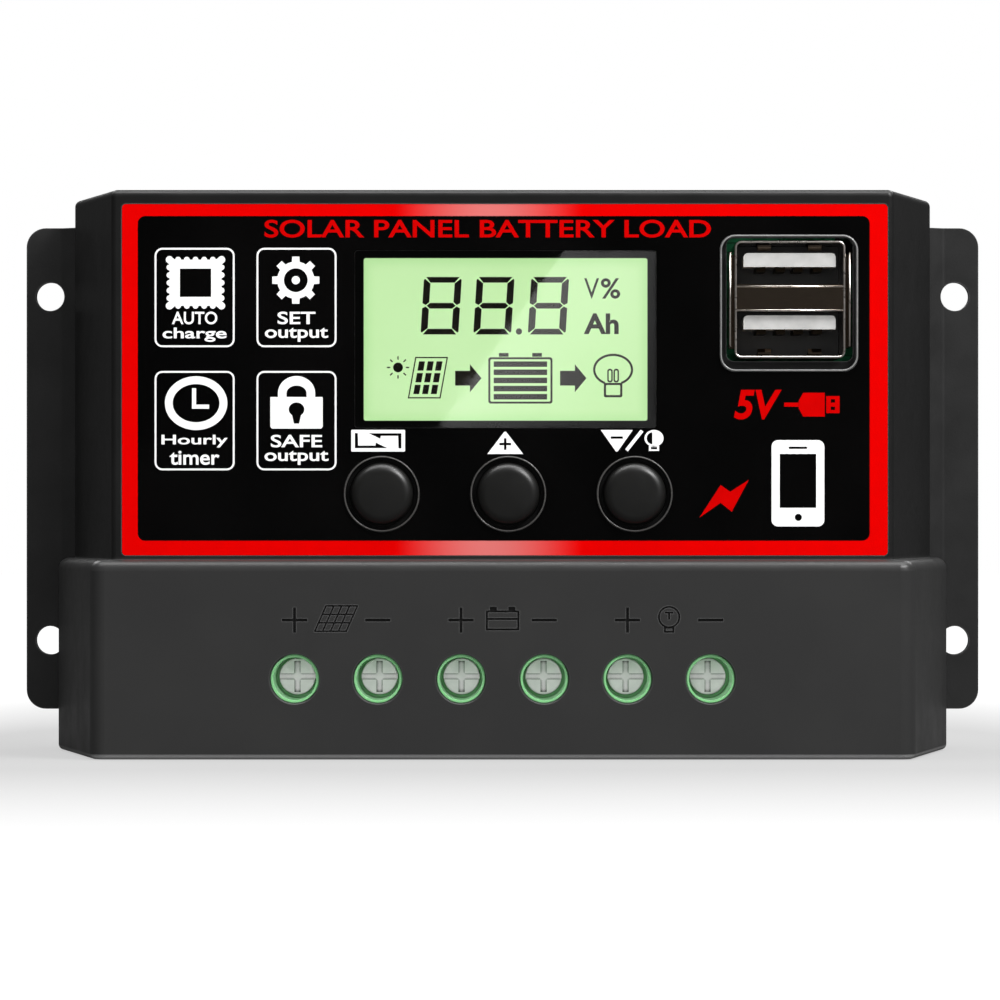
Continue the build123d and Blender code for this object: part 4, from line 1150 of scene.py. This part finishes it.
def keyCap(key):
    look = {
        "flangeLip": 0.6,
        "flangeDepth": 4.7,  # behind the front of the case
        "flangeThickness": 0.9,
        "edge": 1.3,
        "edgeStretch": 1.05,
        "dome": 0.14,
        "stem": 2.2,
    }
    low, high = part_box(f"button_{key}")
    outer = (high.x - low.x) / 2
    radius = outer - look["flangeLip"] * mm
    crown = low.y
    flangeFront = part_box("front_case")[0].y + look["flangeDepth"] * mm
    flangeBack = flangeFront + look["flangeThickness"] * mm
    stemBack = min(high.y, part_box(f"switch_plunger_{key}")[0].y)
    edge, dome, stem = look["edge"] * mm, look["dome"] * mm, look["stem"] * mm
    flat = radius - edge
    points = [(0, crown)]
    for step in range(1, 9):  # shallow dome
        share = step / 8
        points.append((flat * share, crown + dome * share ** 2))
    for step in range(1, 9):  # rounded edge
        angle = step / 8 * pi / 2
        depth = edge * (1 - cos(angle)) * look["edgeStretch"]
        points.append((flat + edge * sin(angle), crown + dome + depth))
    points += [(radius, flangeFront), (outer, flangeFront), (outer, flangeBack)]
    points += [(stem, flangeBack), (stem, stemBack), (0, stemBack)]
    work = bmesh.new()
    spunProfile(work, points, centreOf(f"button_{key}"))
    piece = finishPiece(f"keyCap_{key}", work, capRubber, f"key_{key}", (f"button_{key}",))
    split = piece.modifiers.new("edges", "EDGE_SPLIT")
    split.split_angle = radians(50)


def coilTurns():
    # one layer of enamelled wire round the core
    look = {"color": (0.62, 0.22, 0.08), "rough": 0.25, "varnish": 0.6, "wire": 0.62, "turns": 7, "sides": 10}
    low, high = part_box("coil_winding")
    centre = centreOf("coil_winding")
    wire = look["wire"] / 2 * mm
    reach = (high.x - low.x) / 2 - wire
    length = high.y - low.y - 2 * wire
    pitch = length / look["turns"]
    work = bmesh.new()
    ring = bmesh.ops.create_circle(work, segments=look["sides"], radius=wire, cap_ends=True)["verts"]
    start = Vector((centre.x + reach, low.y + wire, centre.z))
    bmesh.ops.translate(work, vec=start, verts=ring)
    faces = list(work.faces)
    steps = look["turns"] * 40
    bmesh.ops.spin(
        work, geom=faces, cent=centre, axis=(0, 1, 0), angle=tau * look["turns"],
        dvec=(0, pitch * look["turns"] / steps, 0), steps=steps, use_duplicate=False,
    )
    material = dullMetal("enamelledWire", look["color"], look["rough"])
    material.node_tree.nodes["Principled BSDF"].inputs["Coat Weight"].default_value = look["varnish"]
    finishPiece("coilTurns", work, material, "controller", ("coil_winding",))


def beadMesh(work, outline, y, radius, closed=True):
    # a thin round bead along an outline in x and z, at depth y
    curve = bpy.data.curves.new("bead", "CURVE")
    curve.dimensions = "3D"
    curve.bevel_depth = radius
    curve.bevel_resolution = 3
    curve.use_fill_caps = True
    spline = curve.splines.new("POLY")
    spline.points.add(len(outline) - 1)
    for point, (x, z) in zip(spline.points, outline):
        point.co = (x, y, z, 1)
    spline.use_cyclic_u = closed
    mesh = meshOf(curve)
    work.from_mesh(mesh)
    bpy.data.meshes.remove(mesh)


def inMetres(loop):
    return [(x * mm, z * mm) for x, z in loop]


def socketLips():
    # the rounded front edges of the shell, its divider and its side flaps
    look = {
        "sheet": 0.3,
        "radius": 0.17,
        "corner": 0.9,
        "flapStep": 0.75,
        "flapHalf": 6.3,
        "dividerEdges": (0.6, -2.6),  # from half way between the tongues
        "sink": 0.6,
        "thinner": (0.85, 0.9),  # the divider's and the flaps' beads
        "flapBack": 0.1,
    }
    low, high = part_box("usb_shell")
    flapReach = look["flapStep"]
    dividerShare, flapShare = look["thinner"]
    x, _, z = centreOf("usb_shell") / mm
    halfWidth = (high.x - low.x) / 2 / mm - flapReach - look["sheet"] / 2
    halfHeight = (high.z - low.z) / 2 / mm - look["sheet"] / 2
    radius = look["radius"] * mm
    front = low.y + radius * look["sink"]
    work = bmesh.new()
    rim = boxLoop(x, z, 2 * halfWidth, 2 * halfHeight, look["corner"] - look["sheet"] / 2)
    beadMesh(work, inMetres(rim), front, radius)
    tongueGap = (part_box("usb_tongue_upper")[0].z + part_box("usb_tongue_lower")[1].z) / 2 / mm
    for rise in look["dividerEdges"]:
        level = tongueGap + rise
        bar = [(x - halfWidth, level), (x + halfWidth, level)]
        beadMesh(work, inMetres(bar), front, radius * dividerShare, False)
    for side in (-1, 1):
        flapX = x + side * (halfWidth + flapReach)
        flap = [(flapX, z - look["flapHalf"]), (flapX, z + look["flapHalf"])]
        beadMesh(work, inMetres(flap), front + look["flapBack"] * mm, radius * flapShare, False)
    finishPiece("socketLips", work, lipNickel, "controller")


def pocketBeads():
    # the fine raised line round each key pocket and round the socket's pocket, coloured paler than the case
    # as a painted highlight
    look = {
        "keyBeadHighlightColor": (0.05, 0.048, 0.046),
        "keyPocket": 4.98,
        "keyRadius": 0.099,
        "socketBeadHighlightColor": (0.16, 0.16, 0.158),
        "socketPocket": (18.3, 18.1, 1.95),
        "socketShift": (-0.15, 0, -0.5),
        "socketRadius": 0.121,
        "rise": 0.19,  # in front of the label
    }
    # painted highlight: the key beads are paler than the case they belong to
    keyBead = plainMoulding("keyBead", look["keyBeadHighlightColor"], 0.3)
    front = labelLow.y - look["rise"] * mm
    for key in keys:
        x, _, z = centreOf(f"button_{key}") / mm
        ring = ovalLoop(x, z, look["keyPocket"], count=96)
        work = bmesh.new()
        beadMesh(work, inMetres(ring), front, look["keyRadius"] * mm)
        finishPiece(f"keyBead_{key}", work, keyBead, "controller")
    x, _, z = centreOf("usb_shell") / mm + Vector(look["socketShift"])
    work = bmesh.new()
    beadMesh(work, inMetres(boxLoop(x, z, *look["socketPocket"])), front, look["socketRadius"] * mm)
    # painted highlight: the socket's bead is much paler than the case
    socketBead = plainMoulding("socketBead", look["socketBeadHighlightColor"], 0.25)
    finishPiece("socketBead", work, socketBead, "controller")


for key in keys:
    keyCap(key)
coilTurns()
socketLips()
pocketBeads()
print("keys, coil and rims made")


# studio: a pale floor, soft boxes and a card that the window reflects
def studioFloor():
    look = {
        "radius": 1.7,
        "drop": 0.1,
        "color": (0.058, 0.058, 0.058),
        "otherColor": (0.062, 0.062, 0.062),
        "near": (0.06, 0.55),  # a distance in metres and the glow there
        "far": (0.25, 1.0),
        "inset": 2,  # how far the shade starts inside the object's sides
        "across": 5,  # how much faster the shade fades sideways
    }
    material, tree, shader, coords = startMaterial("palePaper")
    shade = mixColors(tree, cloudy(tree, coords, 240, 2), look["color"], look["otherColor"])
    tree.links.new(shade, shader.inputs["Base Color"])
    shader.inputs["Roughness"].default_value = 1.0
    shader.inputs["Specular IOR Level"].default_value = 0.0
    shader.inputs["Emission Color"].default_value = (1, 1, 1, 1)
    # how far a point is past the object's sides and front
    reach = (cadBox[1].x - look["inset"] * mm, 0.0, abs(cadBox[0].z))
    outward = vectorMath(tree, "ABSOLUTE", coords)
    outward = vectorMath(tree, "SUBTRACT", outward, reach)
    outward = vectorMath(tree, "MAXIMUM", outward)
    outward = vectorMath(tree, "MULTIPLY", outward, (look["across"], 1, 1))
    distance = vectorMath(tree, "LENGTH", outward)
    (near, nearGlow), (far, farGlow) = look["near"], look["far"]
    glow = remap(tree, distance, near, far, nearGlow, farGlow)
    path = tree.nodes.new("ShaderNodeLightPath")
    tree.links.new(product(tree, glow, path.outputs["Is Camera Ray"]), shader.inputs["Emission Strength"])
    # the floor can be looked through from below
    clear = tree.nodes.new("ShaderNodeBsdfTransparent")
    underside = tree.nodes.new("ShaderNodeMixShader")
    geometry = tree.nodes.new("ShaderNodeNewGeometry")
    tree.links.new(geometry.outputs["Backfacing"], underside.inputs["Fac"])
    tree.links.new(shader.outputs["BSDF"], underside.inputs[1])
    tree.links.new(clear.outputs["BSDF"], underside.inputs[2])
    tree.links.new(underside.outputs["Shader"], tree.nodes["Material Output"].inputs["Surface"])
    work = bmesh.new()
    bmesh.ops.create_circle(work, cap_ends=True, segments=96, radius=look["radius"])
    bmesh.ops.translate(work, vec=(0, 0, cadBox[0].z - look["drop"] * mm), verts=work.verts)
    makePiece("studioFloor", work, material)


def studioWorld():
    # white behind the object, and dim for everything that the surfaces reflect
    look = {"behind": 1.0, "around": 0.05}
    world = bpy.data.worlds.new("studioWorld")
    world.use_nodes = True
    tree = world.node_tree
    background = tree.nodes["Background"]
    background.inputs["Color"].default_value = (1, 1, 1, 1)
    path = tree.nodes.new("ShaderNodeLightPath")
    strength = remap(tree, path.outputs["Is Camera Ray"], 0, 1, look["around"], look["behind"])
    tree.links.new(strength, background.inputs["Strength"])
    bpy.context.scene.world = world
    bpy.context.scene.view_settings.view_transform = "Standard"


def softBox(name, place, aim, size, watts, mirrored=True):
    light = bpy.data.lights.new(name, "AREA")
    light.shape = "RECTANGLE"
    light.size, light.size_y = size
    light.energy = watts
    lamp = bpy.data.objects.new(name, light)
    lamp.visible_glossy = mirrored
    lamp.visible_transmission = mirrored
    lamp.location = place
    lamp.rotation_euler = (Vector(aim) - Vector(place)).to_track_quat("-Z", "Y").to_euler()
    bpy.context.scene.collection.objects.link(lamp)


def cameraSetup():
    look = {"lens": 186.95, "sensor": 36.0, "place": (-0.35, -730.5, -4.42)}
    camera = bpy.data.objects.new("camera", bpy.data.cameras.new("camera"))
    camera.data.lens = look["lens"]
    camera.data.sensor_width = look["sensor"]
    camera.data.clip_start = 0.01
    camera.location = Vector(look["place"]) * mm
    camera.rotation_euler = (radians(90), 0, 0)
    bpy.context.scene.collection.objects.link(camera)
    bpy.context.scene.camera = camera
    return camera


def windowCard(camera):
    # a white card behind the camera, cut so that the window mirrors its slanted edge
    look = {
        "distance": 1.45,
        "strength": 1.5,
        "fade": 0.62,
        "fadeEnd": 0.8,
        "edgeTop": 0.695,
        "edgeBottom": 0.275,
    }
    low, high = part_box("lcd_window")
    width = high.x - low.x
    corners = [
        (low.x + width * look["edgeTop"], high.z),
        (high.x, high.z),
        (high.x, low.z),
        (low.x + width * look["edgeBottom"], low.z),
    ]
    eye = camera.location
    reach = look["distance"] / (low.y - eye.y)
    work = bmesh.new()
    verts = []
    for x, z in corners:
        spread = Vector((x - eye.x, 0, z - eye.z)) * reach
        verts.append(work.verts.new(Vector((x, low.y - look["distance"], z)) + spread))
    work.faces.new(verts)
    topLeft, bottomRight, bottomLeft = verts[0].co.copy(), verts[2].co.copy(), verts[3].co.copy()
    material = bpy.data.materials.new("cardGlow")
    material.use_nodes = True
    tree = material.node_tree
    tree.nodes.remove(tree.nodes["Principled BSDF"])
    glow = tree.nodes.new("ShaderNodeEmission")
    coords = tree.nodes.new("ShaderNodeTexCoord").outputs["Object"]
    slope = (topLeft - bottomLeft).normalized()
    across = Vector((slope.z, 0, -slope.x))
    start, end = topLeft.dot(across), bottomRight.dot(across)
    end = start + (end - start) * look["fadeEnd"]
    strength = look["strength"]
    place = vectorMath(tree, "DOT_PRODUCT", coords, tuple(across))
    fade = remap(tree, place, start, end, strength, strength * (1 - look["fade"]))
    tree.links.new(fade, glow.inputs["Strength"])
    tree.links.new(glow.outputs["Emission"], tree.nodes["Material Output"].inputs["Surface"])
    card = makePiece("windowCard", work, material)
    lit = bpy.data.collections.new("litByCard")
    lit.objects.link(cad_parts["lcd_window"])
    card.light_linking.receiver_collection = lit


studioFloor()
studioWorld()
softBox("topBox", (0, -0.1, 0.7), (0, -0.02, 0), (0.9, 0.4), 11.0)
softBox("frontTop", (0.0, -1.05, 0.15), (0, -0.03, -0.02), (0.4, 0.12), 1.4, mirrored=False)
softBox("frontMiddle", (-0.02, -1.05, -0.035), (0, -0.03, -0.03), (0.16, 0.08), 5.0, mirrored=False)
softBox("frontLeft", (-0.27, -1.0, -0.02), (0, -0.03, -0.02), (0.12, 0.3), 2.3, mirrored=False)
softBox("frontRight", (0.27, -1.0, -0.02), (0, -0.03, -0.02), (0.12, 0.3), 2.3, mirrored=False)
softBox("rimRight", (0.42, -0.4, 0.5), (0, -0.03, 0), (0.3, 0.2), 8.0)
softBox("backLeft", (-0.6, 0.75, 0.8), (0, 0, 0), (0.5, 0.4), 5.0)
softBox("backRight", (0.6, 0.75, 0.8), (0, 0, 0), (0.5, 0.4), 5.0)
windowCard(cameraSetup())
print("studio lit")
